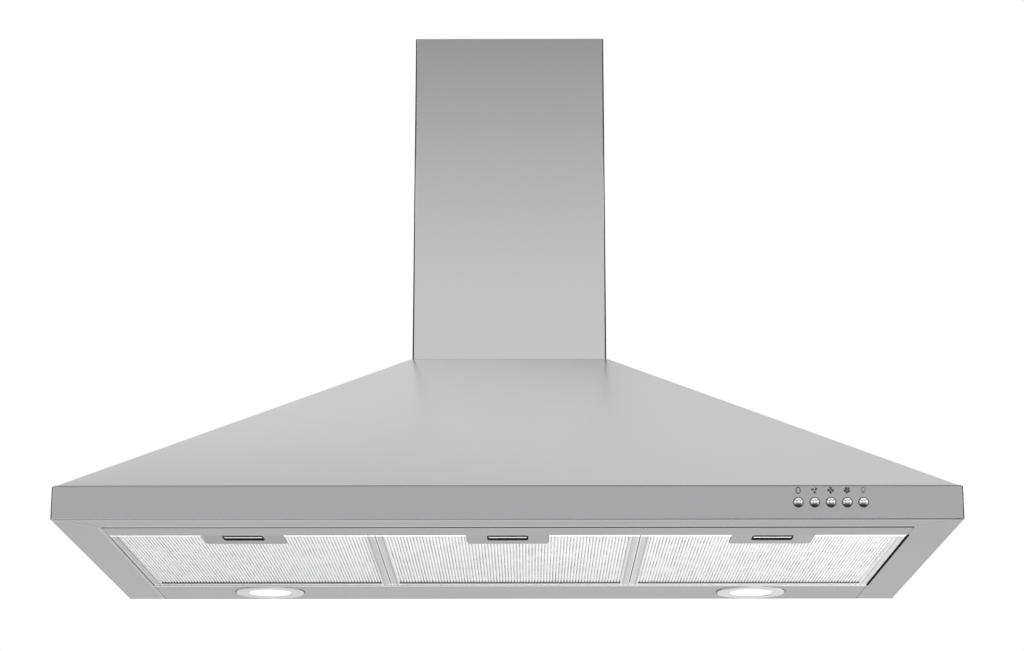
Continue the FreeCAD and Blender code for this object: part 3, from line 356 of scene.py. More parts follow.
def make_panel_steel():
    recipe = Recipe("panel_steel")
    lines = grain(recipe, (0,))
    colour, roughness = finish_steel(
        recipe, PANEL_TONE, lines, 0.28, contrast=0.007, marks=0.4, bump=0.4, gloss=0.4
    )
    # A painted highlight lightens the fold along the lamp panel's front, which is also rougher than the
    # flat sheet.
    fold_highlight = recipe.band(recipe.axes()[1], *PANEL_FOLD_HIGHLIGHT)
    recipe.set(Base_Color=scaled(recipe, colour, ((fold_highlight, 0.5),)))
    recipe.set(Roughness=recipe.math("ADD", roughness, recipe.product(fold_highlight, 0.3)))
    return recipe.material


CRYSTAL_SCALE = 170.0
SPANGLE_DARK = (0.44, 0.46, 0.48)
SPANGLE_LIGHT = (0.62, 0.64, 0.65)


def make_galvanised():
    """Zinc spangle: flat crystals a few millimetres across, each with its own tone and gloss."""
    recipe = Recipe("galvanised")
    warped = recipe.noise(recipe.place, scale=120.0, detail=2.0)
    crystal = recipe.cells(recipe.place, CRYSTAL_SCALE, output="Color")
    tone = recipe.axes(crystal)[0]
    edge = recipe.cells(recipe.place, CRYSTAL_SCALE, feature="DISTANCE_TO_EDGE")
    seam = recipe.span(edge, 0.0, 0.06, 0.9, 1.0)
    colour = recipe.blend(tone, SPANGLE_DARK, SPANGLE_LIGHT)
    cloud = recipe.math("MULTIPLY", seam, recipe.span(warped, 0.3, 0.7, 0.95, 1.05))
    recipe.set(Base_Color=recipe.shade(colour, cloud), Metallic=0.85)
    recipe.set(Roughness=recipe.span(tone, 0.0, 1.0, 0.34, 0.56))
    recipe.set(Normal=recipe.bump(recipe.math("ADD", tone, warped), 0.04 * MM, 0.4))
    return recipe.material


RIB_TONE = (0.99, 0.99, 0.99)
VALLEY_SHADE = (0.20, 0.202, 0.205)
FALLOFF_REACH = 0.4


def make_weave():
    """The pressed layers of a filter: bright ribs, with painted shade darkening the valleys between them.
    """
    recipe = Recipe("filter_weave")
    x, y, z = recipe.axes()
    low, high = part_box("filter_mesh_1")
    below = recipe.math("SUBTRACT", z, low.z)
    above = recipe.math("SUBTRACT", high.z, z)
    from_crest = recipe.math("MINIMUM", below, above)
    valley_shade = recipe.span(from_crest, RIB_HEIGHT * 0.25, RIB_HEIGHT, 0.0, 1.0, smooth=True)
    # The layers don't quite line up, so the valleys' painted shade is stronger in some patches than in
    # others.
    patch = recipe.noise(recipe.stretch((110.0, 34.0, 1.0)), detail=2.0, rough=0.6)
    broad = recipe.noise(recipe.stretch((16.0, 9.0, 1.0)), detail=2.0)
    shade_depth = recipe.math("MULTIPLY", valley_shade, recipe.span(patch, 0.35, 0.65, 0.5, 1.0))
    ripple = recipe.noise(recipe.stretch((30.0, 14.0, 1.0)), detail=1.5, distortion=1.6)
    shade_depth = recipe.math("MULTIPLY", shade_depth, recipe.span(ripple, 0.38, 0.62, 0.62, 1.0, smooth=True))
    stitch = recipe.math("SINE", recipe.math("MULTIPLY", y, 2 * math.pi / STITCH_PITCH))
    fine = recipe.noise(recipe.place, scale=1100.0, detail=2.0)
    colour = recipe.blend(shade_depth, RIB_TONE, VALLEY_SHADE)
    mottle = recipe.span(broad, 0.3, 0.7, 0.965, 1.03)
    speckle = recipe.span(fine, 0.3, 0.7, 0.975, 1.02)
    # Painted shade: the filters darken a little towards the left, where less light falls.
    painted_falloff = recipe.span(x, -FALLOFF_REACH, FALLOFF_REACH, 0.86, 1.02)
    factor = recipe.product(mottle, speckle, painted_falloff)
    recipe.set(Base_Color=recipe.shade(colour, factor), Metallic=0.30)
    recipe.set(Roughness=recipe.span(fine, 0.3, 0.7, 0.36, 0.48))
    relief = recipe.math("ADD", recipe.product(stitch, 0.5), fine)
    recipe.set(Normal=recipe.bump(relief, 0.12 * MM, 0.35))
    return recipe.material


SKIN_DEPTH = 0.05 * MM


def make_painted(name, tone, rough, speckle, orange_peel, metallic=0.0):
    """Moulded or painted skin: a fine texture, a slight mottle and dust in the gloss."""
    recipe = Recipe(name)
    skin = recipe.noise(recipe.place, scale=orange_peel, detail=3.0)
    mottle = recipe.noise(recipe.place, scale=35.0, detail=3.0)
    darker = [channel * (1 - speckle) for channel in tone]
    lighter = [channel * (1 + speckle) for channel in tone]
    recipe.set(Base_Color=recipe.blend(mottle, darker, lighter), Metallic=metallic)
    pores = recipe.span(skin, 0.3, 0.7, -0.03, 0.03)
    dust = recipe.math("ADD", pores, recipe.span(mottle, 0.3, 0.7, -0.03, 0.04))
    recipe.set(Roughness=recipe.math("ADD", dust, rough))
    recipe.set(Normal=recipe.bump(skin, SKIN_DEPTH, 0.4))
    return recipe.material


ENAMEL_DARK = (0.345, 0.345, 0.348)
ENAMEL_LIGHT = (0.359, 0.359, 0.362)
SLOT_SHADE_DARK = (0.012, 0.012, 0.013)
SLOT_SHADE_LIGHT = (0.03, 0.03, 0.031)
SLOT_SHADE_MARGIN = 0.4 * MM
SLOT_SHADE_LEVEL = 0.12 * MM


def make_handle_paint():
    """Grey enamel, with near-black painted shade inside the finger slot."""
    recipe = Recipe("handle_paint")
    x, y, z = recipe.axes()
    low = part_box("filter_handle_1")[0]
    inside = recipe.math("LESS_THAN", recipe.from_filter(x), SLOT_HALF + SLOT_SHADE_MARGIN)
    for limit in (
        recipe.math("GREATER_THAN", z, low.z + SLOT_SHADE_LEVEL),
        recipe.math("GREATER_THAN", y, low.y + SLOT_FRONT - SLOT_SHADE_MARGIN),
        recipe.math("LESS_THAN", y, low.y + SLOT_BACK + SLOT_SHADE_MARGIN),
    ):
        inside = recipe.math("MULTIPLY", inside, limit)
    skin = recipe.noise(recipe.place, scale=900.0, detail=3.0)
    mottle = recipe.noise(recipe.place, scale=35.0, detail=3.0)
    enamel = recipe.blend(mottle, ENAMEL_DARK, ENAMEL_LIGHT)
    slot_shade = recipe.blend(skin, SLOT_SHADE_DARK, SLOT_SHADE_LIGHT)
    recipe.set(Base_Color=recipe.blend(inside, enamel, slot_shade))
    recipe.set(Metallic=recipe.span(inside, 0.0, 1.0, 0.3, 0.0))
    recipe.set(Roughness=recipe.span(skin, 0.3, 0.7, 0.39, 0.45))
    recipe.set(Normal=recipe.bump(skin, SKIN_DEPTH, 0.4))
    return recipe.material


# Bands on a filter's channel, by the distance from its side or from its front and rear ends
OUTER_RIDGE = (0.4 * MM, 0.6 * MM, 0.4 * MM)
INNER_RIDGE = (8.8 * MM, 0.6 * MM, 0.5 * MM)
CHANNEL = (6.8 * MM, 0.6 * MM, 0.6 * MM)
LIP_FRONT = 3.0 * MM
LIP_REAR = 4.5 * MM
LIP_BAND = (4.5 * MM, 1.0 * MM)
RIDGE_DEPTH = 0.2 * MM


def make_frame_aluminium():
    """Rolled channel round each filter, with pressed ridges along its sides; painted highlights lighten
    the ridges and the ends, and painted shade darkens the channel.
    """
    recipe = Recipe("frame_aluminium")
    x, y = recipe.axes()[:2]
    low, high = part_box("filter_frame_2")
    from_side = recipe.math("SUBTRACT", FILTER_HALF, recipe.from_filter(x))
    rolled = recipe.noise(recipe.stretch((900.0, 8.0, 900.0)), detail=3.0)
    bloom = recipe.noise(recipe.place, scale=60.0, detail=4.0, rough=0.6)
    streaks = recipe.span(rolled, 0.3, 0.7, 0.97, 1.03)
    clouds = recipe.span(bloom, 0.3, 0.7, 0.975, 1.02)
    # Painted highlights on the ridges and lips and painted shade in the channel; the ridges and the
    # channel are bumped as well.
    ridges_and_highlights = recipe.math("ADD", recipe.band(from_side, *OUTER_RIDGE), recipe.band(from_side, *INNER_RIDGE))
    channel = recipe.band(from_side, *CHANNEL)
    front_lip_highlight = recipe.band(y, low.y + LIP_FRONT, *LIP_BAND)
    lip_highlight = recipe.math("ADD", front_lip_highlight, recipe.band(y, high.y - LIP_REAR, *LIP_BAND))
    # Painted shade: the frames darken towards the left, where less light falls.
    factor = recipe.product(streaks, clouds, recipe.span(x, -FALLOFF_REACH, FALLOFF_REACH, 0.80, 1.14))
    for share, amount in ((ridges_and_highlights, 0.45), (channel, -0.25), (lip_highlight, 0.5)):
        factor = recipe.math("ADD", factor, recipe.product(share, amount))
    tint = recipe.blend(bloom, (0.80, 0.80, 0.81), (0.82, 0.82, 0.83))
    recipe.set(Base_Color=recipe.shade(tint, factor))
    recipe.set(Metallic=recipe.span(lip_highlight, 0.0, 1.0, 0.75, 0.25))
    recipe.set(Roughness=recipe.span(rolled, 0.3, 0.7, 0.27, 0.38))
    relief = recipe.math("ADD", recipe.product(rolled, 0.1), recipe.math("SUBTRACT", ridges_and_highlights, channel))
    recipe.set(Normal=recipe.bump(relief, RIDGE_DEPTH, 0.5))
    return recipe.material


LIT_MARGIN = 1.8 * MM
LIT_START = 3.4 * MM
LIT_LEAST = 0.2 * MM
LIT_MOST = 0.6 * MM


def make_latch_steel():
    """Near-black steel as painted shade, with a painted highlight along the underside of the grip."""
    recipe = Recipe("latch_steel")
    x, y, z = recipe.axes()
    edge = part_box("latch_1")[0].z
    handle_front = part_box("filter_handle_1")[0].y
    # This noise gives the painted highlight a ragged upper edge.
    wear = recipe.noise(recipe.stretch((90.0, 200.0, 600.0)), detail=3.0)
    reach = recipe.math("ADD", edge, recipe.span(wear, 0.3, 0.7, LIT_LEAST, LIT_MOST))
    lit_grip = recipe.math("LESS_THAN", recipe.from_filter(x), SLOT_HALF - LIT_MARGIN)
    for limit in (
        recipe.math("LESS_THAN", z, reach),
        recipe.math("GREATER_THAN", y, handle_front + GRIP_FRONT + LIT_START),
        recipe.math("LESS_THAN", y, handle_front + GRIP_BACK),
    ):
        lit_grip = recipe.math("MULTIPLY", lit_grip, limit)
    fine = recipe.noise(recipe.stretch((40.0, 1500.0, 1500.0)), detail=3.0)
    painted_dark = recipe.blend(fine, (0.018, 0.018, 0.019), (0.04, 0.04, 0.042))
    lit_colour = recipe.blend(fine, (0.90, 0.90, 0.91), (0.98, 0.98, 0.98))
    recipe.set(Base_Color=recipe.blend(lit_grip, painted_dark, lit_colour))
    recipe.set(Metallic=recipe.span(lit_grip, 0.0, 1.0, 0.1, 0.3))
    recipe.set(Roughness=recipe.span(fine, 0.3, 0.7, 0.34, 0.46))
    recipe.set(Normal=recipe.bump(fine, 0.00002, 0.3))
    return recipe.material


def make_chrome():
    recipe = Recipe("button_chrome")
    haze = recipe.noise(recipe.place, scale=400.0, detail=3.0)
    wipe = recipe.noise(recipe.stretch((300.0, 300.0, 2500.0)), detail=2.0)
    recipe.set(Base_Color=recipe.blend(haze, (0.86, 0.86, 0.87), (0.93, 0.93, 0.94)), Metallic=1.0)
    recipe.set(Roughness=recipe.span(wipe, 0.3, 0.7, 0.09, 0.12))
    recipe.set(Normal=recipe.bump(wipe, 0.00001, 0.04))
    return recipe.material


def make_lamp_ring():
    recipe = Recipe("lamp_ring_satin")
    haze = recipe.noise(recipe.place, scale=300.0, detail=3.0)
    spun = recipe.cells(recipe.stretch((60.0, 60.0, 60.0)), 30.0)
    recipe.set(Base_Color=recipe.blend(haze, (0.80, 0.80, 0.81), (0.90, 0.90, 0.90)), Metallic=0.55)
    recipe.set(Roughness=recipe.span(spun, 0.0, 0.8, 0.26, 0.4))
    recipe.set(Normal=recipe.bump(haze, 0.00002, 0.25))
    return recipe.material


GLOW_CORE = 0.62
GLOW_INSIDE = 1.6
GLOW_RIM = 0.30
GLOW_COLOUR = (1.0, 0.985, 0.96, 1)


def make_lens():
    """Frosted glass that glows, brightest over the lamp and softer at its rim."""
    recipe = Recipe("lamp_lens_glow")
    frost = recipe.noise(recipe.place, scale=1400.0, detail=3.0)
    dimples = recipe.cells(recipe.place, 420.0)
    recipe.set(Base_Color=recipe.blend(frost, (0.50, 0.50, 0.495), (0.56, 0.56, 0.555)))
    recipe.set(Roughness=recipe.span(dimples, 0.0, 0.7, 0.25, 0.45))
    recipe.set(Normal=recipe.bump(dimples, 0.0002, 0.12))
    recipe.shader.inputs["Emission Color"].default_value = GLOW_COLOUR
    x, y = recipe.axes()[:2]
    low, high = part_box("lamp_lens_right")
    centre_x = (low.x + high.x) / 2
    centre_y = (low.y + high.y) / 2
    radius = (high.x - low.x) / 2
    off_x = recipe.math("SUBTRACT", recipe.math("ABSOLUTE", x), centre_x)
    off_y = recipe.math("SUBTRACT", y, centre_y)
    squares = [recipe.math("POWER", offset, 2.0) for offset in (off_x, off_y)]
    distance = recipe.math("SQRT", recipe.math("ADD", *squares))
    glow = recipe.span(distance, radius * GLOW_CORE, radius, GLOW_INSIDE, GLOW_RIM, smooth=True)
    recipe.set(Emission_Strength=recipe.product(glow, recipe.span(dimples, 0.0, 0.7, 1.01, 0.985)))
    return recipe.material


def make_print():
    recipe = Recipe("symbol_print")
    wear = recipe.noise(recipe.place, scale=2500.0, detail=2.0)
    recipe.set(Base_Color=recipe.blend(wear, (0.012, 0.012, 0.014), (0.05, 0.05, 0.052)))
    recipe.set(Roughness=recipe.span(wear, 0.3, 0.7, 0.4, 0.6))
    recipe.set(Normal=recipe.bump(wear, 0.00001, 0.2))
    return recipe.material


canopy_steel = make_canopy_steel()
chimney_steel = make_chimney_steel()
fascia_steel = make_fascia_steel()
panel_steel = make_panel_steel()
galvanised = make_galvanised()
frame_aluminium = make_frame_aluminium()
latch_steel = make_latch_steel()
weave = make_weave()
handle_paint = make_handle_paint()
grey_plastic = make_painted("grey_plastic", (0.30, 0.30, 0.31), 0.5, 0.04, 1400.0)
blower_plastic = make_painted("blower_plastic", (0.16, 0.165, 0.17), 0.48, 0.05, 1100.0)
black_plastic = make_painted("black_plastic", (0.02, 0.02, 0.022), 0.42, 0.1, 1400.0)
rubber = make_painted("rubber", (0.018, 0.018, 0.018), 0.68, 0.15, 700.0)
zinc = make_painted("zinc_plate", (0.58, 0.59, 0.60), 0.32, 0.03, 600.0, metallic=0.95)
bright_steel = make_painted("bright_steel", (0.66, 0.66, 0.67), 0.24, 0.02, 1800.0, metallic=1.0)
sheath = make_painted("lead_sheath", (0.80, 0.79, 0.76), 0.45, 0.03, 1600.0)
gap_shade = make_painted("gap_shade_black", (0.009, 0.009, 0.009), 0.95, 0.2, 900.0)
gap_shade.node_tree.nodes["Principled BSDF"].inputs["Specular IOR Level"].default_value = 0.05
seam_shade_grey = make_painted("seam_shade_grey", (0.10, 0.10, 0.102), 0.8, 0.1, 900.0)
pale_highlight = make_painted("pale_highlight", (0.74, 0.74, 0.745), 0.5, 0.03, 1200.0)
rear_shadow = make_painted("rear_shadow", (0.17, 0.17, 0.172), 0.9, 0.12, 2600.0)
chrome = make_chrome()
ring_satin = make_lamp_ring()
lens_glow = make_lens()
symbol_print = make_print()

FINISHES = {
    canopy_steel: ("canopy_shell",),
    chimney_steel: ("chimney_cover", "upper_chimney"),
    fascia_steel: ("fascia_frame",),
    panel_steel: ("front_rail", "lamp_panel"),
    galvanised: (
        "back_panel",
        "top_plate",
        "wall_bracket",
        "blower_housing_left",
        "blower_housing_right",
        "motor_bracket",
    ),
    ring_satin: ("lamp_ring_left", "lamp_ring_right"),
    lens_glow: ("lamp_lens_left", "lamp_lens_right"),
    grey_plastic: ("lamp_body_left", "lamp_body_right", "terminal_box", "terminal_box_lid"),
    blower_plastic: ("impeller", "outlet_collar", "damper_flap_front", "damper_flap_rear"),
    black_plastic: ("switch_housing", "capacitor", "button_bushes"),
    rubber: ("cable_grommet",),
    zinc: ("motor_casing", "inlet_guard"),
    bright_steel: (
        "motor_shaft",
        "impeller_nut",
        "damper_pin",
        "canopy_screws",
        "collar_screws",
        "motor_screws",
        "guard_screws",
    ),
    sheath: ("wiring",),
    chrome: BUTTONS,
}
for material, names in FINISHES.items():
    for name in names:
        nodes[name].data.materials.clear()
        nodes[name].data.materials.append(material)
for number in FILTERS:
    for stem, material in (
        ("filter_frame", frame_aluminium),
        ("filter_mesh", weave),
        ("filter_handle", handle_paint),
        ("latch", latch_steel),
        ("latch_spring", bright_steel),
    ):
        node = nodes[f"{stem}_{number}"]
        node.data.materials.clear()
        node.data.materials.append(material)

# ------------------------------------------------------------------ soft edges of sheet pieces

SHEET_EDGE = 0.3 * MM
SHARP_ANGLE = math.radians(25)
WELD_REACH = 1e-6
FLAT_ANGLE = math.radians(0.5)


def soften(name):
    """Rounds a piece's sharp edges a little, as folding and deburring do."""
    node = nodes[name]
    weld = node.modifiers.new("weld", "WELD")
    weld.merge_threshold = WELD_REACH
    flat = node.modifiers.new("flat", "DECIMATE")
    flat.decimate_type = "DISSOLVE"
    flat.angle_limit = FLAT_ANGLE
    bevel = node.modifiers.new("edges", "BEVEL")
    bevel.width = SHEET_EDGE
    bevel.segments = 2
    bevel.limit_method = "ANGLE"
    bevel.angle_limit = SHARP_ANGLE
    bevel.harden_normals = True


for name in ("canopy_shell", "fascia_frame", "front_rail", "lamp_panel", "chimney_cover", "upper_chimney"):
    soften(name)

# ------------------------------------------------------------------ drawn pieces


def new_piece(name, mesh_data, material, body):
    """Adds a piece that moves with a body."""
    piece = bpy.data.objects.new(name, mesh_data)
    scene.collection.objects.link(piece)
    piece.data.materials.append(material)
    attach(piece, body)
    return piece


def finish_mesh(mesh, name):
    """Turns a drawn mesh's faces outwards and stores it."""
    bmesh.ops.recalc_face_normals(mesh, faces=mesh.faces)
    data = bpy.data.meshes.new(name)
    mesh.to_mesh(data)
    mesh.free()
    return data


def extruded(mesh, faces):
    """Closes faces into a solid with a second layer of faces, and gives that layer's corners."""
    made = bmesh.ops.extrude_face_region(mesh, geom=faces)
    return [item for item in made["geom"] if isinstance(item, bmesh.types.BMVert)]


# ------------------------------------------------------------------ filter weave

ROW_LENGTH = 8.0 * MM
NOTCH_GAP = 0.3 * MM
WEAVE_SHARP = math.radians(50)


def make_filter_weave(number):
    """A closed pad of layers, ribbed below and above, with the notch that its handle sits in."""
    low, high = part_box(f"filter_mesh_{number}")
    handle_low, handle_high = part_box(f"filter_handle_{number}")
    notch_low = handle_low.x - NOTCH_GAP
    notch_high = handle_high.x + NOTCH_GAP
    notch_back = handle_high.y + NOTCH_GAP
    steps = len(RIB_PROFILE)
    columns = round((high.x - low.x) / RIB_PITCH) * steps
    rows = round((high.y - low.y) / ROW_LENGTH)
    mesh = bmesh.new()
    grid = []
    for row in range(rows + 1):
        y = low.y + (high.y - low.y) * row / rows
        line = []
        for column in range(columns + 1):
            x = low.x + (high.x - low.x) * column / columns
            rise = RIB_HEIGHT * (1 - RIB_PROFILE[column % steps])
            line.append(mesh.verts.new((x, y, low.z + rise)))
        grid.append(line)
    faces = []
    for row in range(rows):
        for column in range(columns):
            here, there = grid[row], grid[row + 1]
            corners = [here[column], there[column], there[column + 1], here[column + 1]]
            middle = (corners[0].co + corners[2].co) / 2
            if notch_low < middle.x < notch_high and middle.y < notch_back:
                continue
            faces.append(mesh.faces.new(corners))
            faces[-1].smooth = True
    for vertex in extruded(mesh, faces):
        vertex.co.z = high.z + low.z - vertex.co.z
    loose = [vertex for vertex in mesh.verts if not vertex.link_faces]
    bmesh.ops.delete(mesh, geom=loose, context="VERTS")
    bmesh.ops.recalc_face_normals(mesh, faces=mesh.faces)
    for side in mesh.edges:
        side.smooth = side.calc_face_angle(0.0) < WEAVE_SHARP
    data = finish_mesh(mesh, f"weave_{number}")
    piece = new_piece(f"filter_weave_{number}", data, weave, f"filter_{number}")
    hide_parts(f"filter_mesh_{number}")


for number in FILTERS:
    make_filter_weave(number)

# ------------------------------------------------------------------ symbols over the buttons

SYMBOL_RISE = 12.0 * MM
SYMBOL_DEPTH = 0.06 * MM
THICK_LINE = 0.7 * MM
THIN_LINE = 0.4 * MM
FAN_REACH = 3.1 * MM
FAN_HUB = 0.5 * MM
FAN_SWEEP = 0.75
FAN_STEPS = 5
BULB_RISE = 0.7 * MM
CAP_HALF = 0.8 * MM
CAP_TOP = -1.6 * MM
CAP_FOOT = -2.8 * MM


def flat_shape(mesh, points, centre):
    """A thin closed plate on the fascia's face, from (across, up) points about a centre."""
    back = [mesh.verts.new((centre.x + x, FRONT, centre.z + z)) for x, z in points]
    face = mesh.faces.new(back)
    for vertex in extruded(mesh, [face]):
        vertex.co.y = FRONT - SYMBOL_DEPTH


def stroke(mesh, path, width, centre, closed=False):
    """A line of the given width along (across, up) points."""
    count = len(path)
    last = count if closed else count - 1
    for i in range(last):
        start = Vector(path[i])
        end = Vector(path[(i + 1) % count])
        way = (end - start).normalized()
        side = Vector((-way.y, way.x)) * width / 2
        reach = way * width / 2
        quad = [start - reach + side, end + reach + side, end + reach - side, start - reach - side]
        flat_shape(mesh, [tuple(point) for point in quad], centre)


def oval(half_x, half_z, count=20):
    turn = 2 * math.pi / count
    return [(half_x * math.cos(turn * i), half_z * math.sin(turn * i)) for i in range(count)]


def fan(mesh, blades, width, centre, first=90.0):
    """Curved blades around a centre, the first at an angle in degrees."""
    for blade in range(blades):
        start = math.radians(first) + 2 * math.pi * blade / blades
        outer = []
        inner = []
        for step in range(FAN_STEPS + 1):
            share = step / FAN_STEPS
            radius = FAN_HUB + (FAN_REACH - FAN_HUB) * share
            angle = start + FAN_SWEEP * share
            half = width * (0.35 + 0.65 * share) / 2
            middle = Vector((math.cos(angle), math.sin(angle))) * radius
            side = Vector((-math.sin(angle), math.cos(angle))) * half
            outer.append(tuple(middle + side))
            inner.append(tuple(middle - side))
        flat_shape(mesh, outer + inner[::-1], centre)


def make_symbols():
    mesh = bmesh.new()
    centres = {}
    for name in BUTTONS:
        low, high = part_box(name)
        centres[name] = Vector(((low.x + high.x) / 2, FRONT, (low.z + high.z) / 2 + SYMBOL_RISE))
    stroke(mesh, oval(2.1 * MM, 3.2 * MM), THICK_LINE, centres["button_off"], closed=True)
    fan(mesh, 3, 2.6 * MM, centres["button_speed_1"], first=-110.0)
    fan(mesh, 4, 3.1 * MM, centres["button_speed_2"], first=60.0)
    fan(mesh, 5, 2.9 * MM, centres["button_speed_3"])
    bulb = [(x, z + BULB_RISE) for x, z in oval(2.0 * MM, 2.1 * MM, 16)]
    stroke(mesh, bulb, THIN_LINE, centres["button_light"], closed=True)
    for across in (-CAP_HALF, CAP_HALF):
        stroke(mesh, [(across, CAP_TOP), (across, CAP_FOOT)], THIN_LINE, centres["button_light"])
    stroke(mesh, [(-CAP_HALF, CAP_FOOT), (CAP_HALF, CAP_FOOT)], THIN_LINE, centres["button_light"])
    data = finish_mesh(mesh, "symbols")
    piece = new_piece("button_symbols", data, symbol_print, "hood_body")


make_symbols()

# ------------------------------------------------------------------ painted shade and highlight strips between the sheets

BAR_EDGE = 0.08 * MM


def add_bar(mesh, low, high):
    """A closed bar between two corners."""
    made = bmesh.ops.create_cube(mesh, size=1.0)
    middle = (Vector(low) + Vector(high)) / 2
    size = Vector(high) - Vector(low)
    for vertex in made["verts"]:
        vertex.co = Vector(vertex.co[i] * size[i] + middle[i] for i in range(3))


def bar_piece(name, bars, material):
    """A piece made of bars, which stays with the hood."""
    mesh = bmesh.new()
    for low, high in bars:
        add_bar(mesh, low, high)
    data = bpy.data.meshes.new(name)
    mesh.to_mesh(data)
    mesh.free()
    piece = new_piece(name, data, material, "hood_body")
    bevel = piece.modifiers.new("edges", "BEVEL")
    bevel.width = BAR_EDGE
    bevel.segments = 2
    return piece


def round_foot(low, high, back, base, bead):
    """Bars along the front and both sides of a foot."""
    bars = [((low.x - bead, low.y - bead, base), (high.x + bead, low.y, base + bead))]
    bars.append(((low.x - bead, low.y, base), (low.x, back, base + bead)))
    bars.append(((high.x, low.y, base), (high.x + bead, back, base + bead)))
    return bars


RAIL_GAP = 0.6 * MM
RAIL_GAP_GROWTH = 2.4 * MM
STRIP_LOW = -0.25 * MM
STRIP_HIGH = 0.05 * MM
STRIP_INSIDE = 0.7 * MM
STRIP_OUTSIDE = 1.8 * MM
CANOPY_BEAD = 0.7 * MM
CHIMNEY_BEAD = 0.5 * MM
BEAD_SINK = 0.1 * MM
LIP_GAP = 0.1 * MM


def make_seam_light_and_shade():
    """Dark beads as painted shadow at the feet of the canopy and the chimney, dark strips as painted shade
    round the filters' bay, and a pale strip as a painted highlight before the lamp panel.
    """
    # Dark beads at the feet, as painted shadow in the seams.
    shadow_beads = round_foot(canopy_low, canopy_high, panel_high.y, FASCIA_TOP - BEAD_SINK, CANOPY_BEAD)
    shadow_beads += round_foot(chimney_low, chimney_high, panel_high.y, chimney_low.z, CHIMNEY_BEAD)
    bar_piece("seam_shade_beads", shadow_beads, seam_shade_grey)
    rail_strip = ((-BAY_HALF, rail_low.y - RAIL_GAP, STRIP_LOW), (BAY_HALF, rail_low.y, STRIP_HIGH))
    side_low = (BAY_HALF - STRIP_INSIDE, rail_high.y, STRIP_LOW)
    side_high = (BAY_HALF + STRIP_OUTSIDE, panel_low.y, STRIP_HIGH)
    strips = bar_piece("gap_shade_strips", (rail_strip, (side_low, side_high)), gap_shade)
    # A pale strip before the lamp panel, as a painted highlight along the panel's edge.
    filter_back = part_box("filter_frame_2")[1].y
    lip_highlight = ((-BAY_HALF, filter_back + LIP_GAP, STRIP_LOW), (BAY_HALF, panel_low.y, STRIP_HIGH))
    bar_piece("panel_highlight_strip", (lip_highlight,), pale_highlight)
    # The dark strip of painted shade before the rail widens towards the right.
    for vertex in strips.data.vertices:
        if vertex.co.x > 0 and vertex.co.y < rail_low.y - RAIL_GAP / 2:
            vertex.co.y -= RAIL_GAP_GROWTH


REAR_SHADOW_WIDTH = 6.5 * MM
REAR_SHADOW_FRAY = 1.2 * MM
REAR_SHADOW_NOTCH = 3.0 * MM
REAR_SHADOW_TOP = 0.8 * MM
REAR_SHADOW_FOOT = 0.1 * MM


def make_filter_rear_shadow(number):
    """A dark strip along the rear end of each filter's mesh, as painted shade, its front edge toothed with
    the ribs.
    """
    low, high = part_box(f"filter_frame_{number}")
    back = high.y - FILTER_BORDER
    left = low.x + FILTER_BORDER
    right = high.x - FILTER_BORDER
    front_edge = back - REAR_SHADOW_WIDTH
    count = 2 * round((right - left) / RIB_PITCH)
    mesh = bmesh.new()
    outline = [(left, back), (right, back)]
    for step in range(count + 1):
        fray = REAR_SHADOW_FRAY * math.sin(step * 2.3) * math.sin(step * 0.71 + number)
        if step % 2:
            fray -= REAR_SHADOW_NOTCH
        outline.append((right + (left - right) * step / count, front_edge + fray))
    base = [mesh.verts.new((x, y, low.z + REAR_SHADOW_TOP)) for x, y in outline]
    face = mesh.faces.new(base)
    for vertex in extruded(mesh, [face]):
        vertex.co.z = low.z + REAR_SHADOW_FOOT
    data = finish_mesh(mesh, f"felt_{number}")
    piece = new_piece(f"filter_rear_shadow_{number}", data, rear_shadow, f"filter_{number}")


OUTLINE_TURNS = 96
OUTLINE_INSET = 0.5
# The ring's section in millimetres: outwards from the bezel's edge, and up
OUTLINE_SECTION = ((-0.6, -0.02), (0.55, -0.02), (0.75, -0.2), (0.55, -0.42), (-0.6, -0.42))


def make_lamp_outline_shade(side):
    """A thin dark ring between a lamp's bezel and the panel, as painted shade at the bezel's outline,
    shaped to show only at its two ends.
    """
    low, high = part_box(f"lamp_ring_{side}")
    centre = (low + high) / 2
    radius = (high.x - low.x) / 2
    mesh = bmesh.new()
    rings = []
    for step in range(OUTLINE_TURNS):
        angle = 2 * math.pi * step / OUTLINE_TURNS
        end_share = abs(math.cos(angle)) ** 10
        ring = []
        for out, up in OUTLINE_SECTION:
            reach = radius + (out * end_share - OUTLINE_INSET * (1 - end_share)) * MM
            x = centre.x + reach * math.cos(angle)
            y = centre.y + reach * math.sin(angle)
            ring.append(mesh.verts.new((x, y, up * MM)))
        rings.append(ring)
    for step in range(OUTLINE_TURNS):
        here, there = rings[step], rings[(step + 1) % OUTLINE_TURNS]
        for i in range(len(OUTLINE_SECTION)):
            k = (i + 1) % len(OUTLINE_SECTION)
            mesh.faces.new((here[i], here[k], there[k], there[i])).smooth = True
    data = finish_mesh(mesh, f"outline_shade_{side}")
    piece = new_piece(f"lamp_outline_shade_{side}", data, rubber, "hood_body")


def make_latch_spring(number):
    """The latch's folded strip spring, copied with its place baked in, and the original hidden."""
    name = f"latch_spring_{number}"
    piece = bpy.data.objects.new(f"latch_strip_{number}", nodes[name].data.copy())
    scene.collection.objects.link(piece)
    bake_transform(piece)
    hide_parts(name)


for number in FILTERS:
    make_filter_rear_shadow(number)
    make_latch_spring(number)
for side in LAMPS:
    make_lamp_outline_shade(side)
make_seam_light_and_shade()

# ------------------------------------------------------------------ floor, light and camera

FLOOR_LEVEL = -1.5
FLOOR_HALF = 2.6


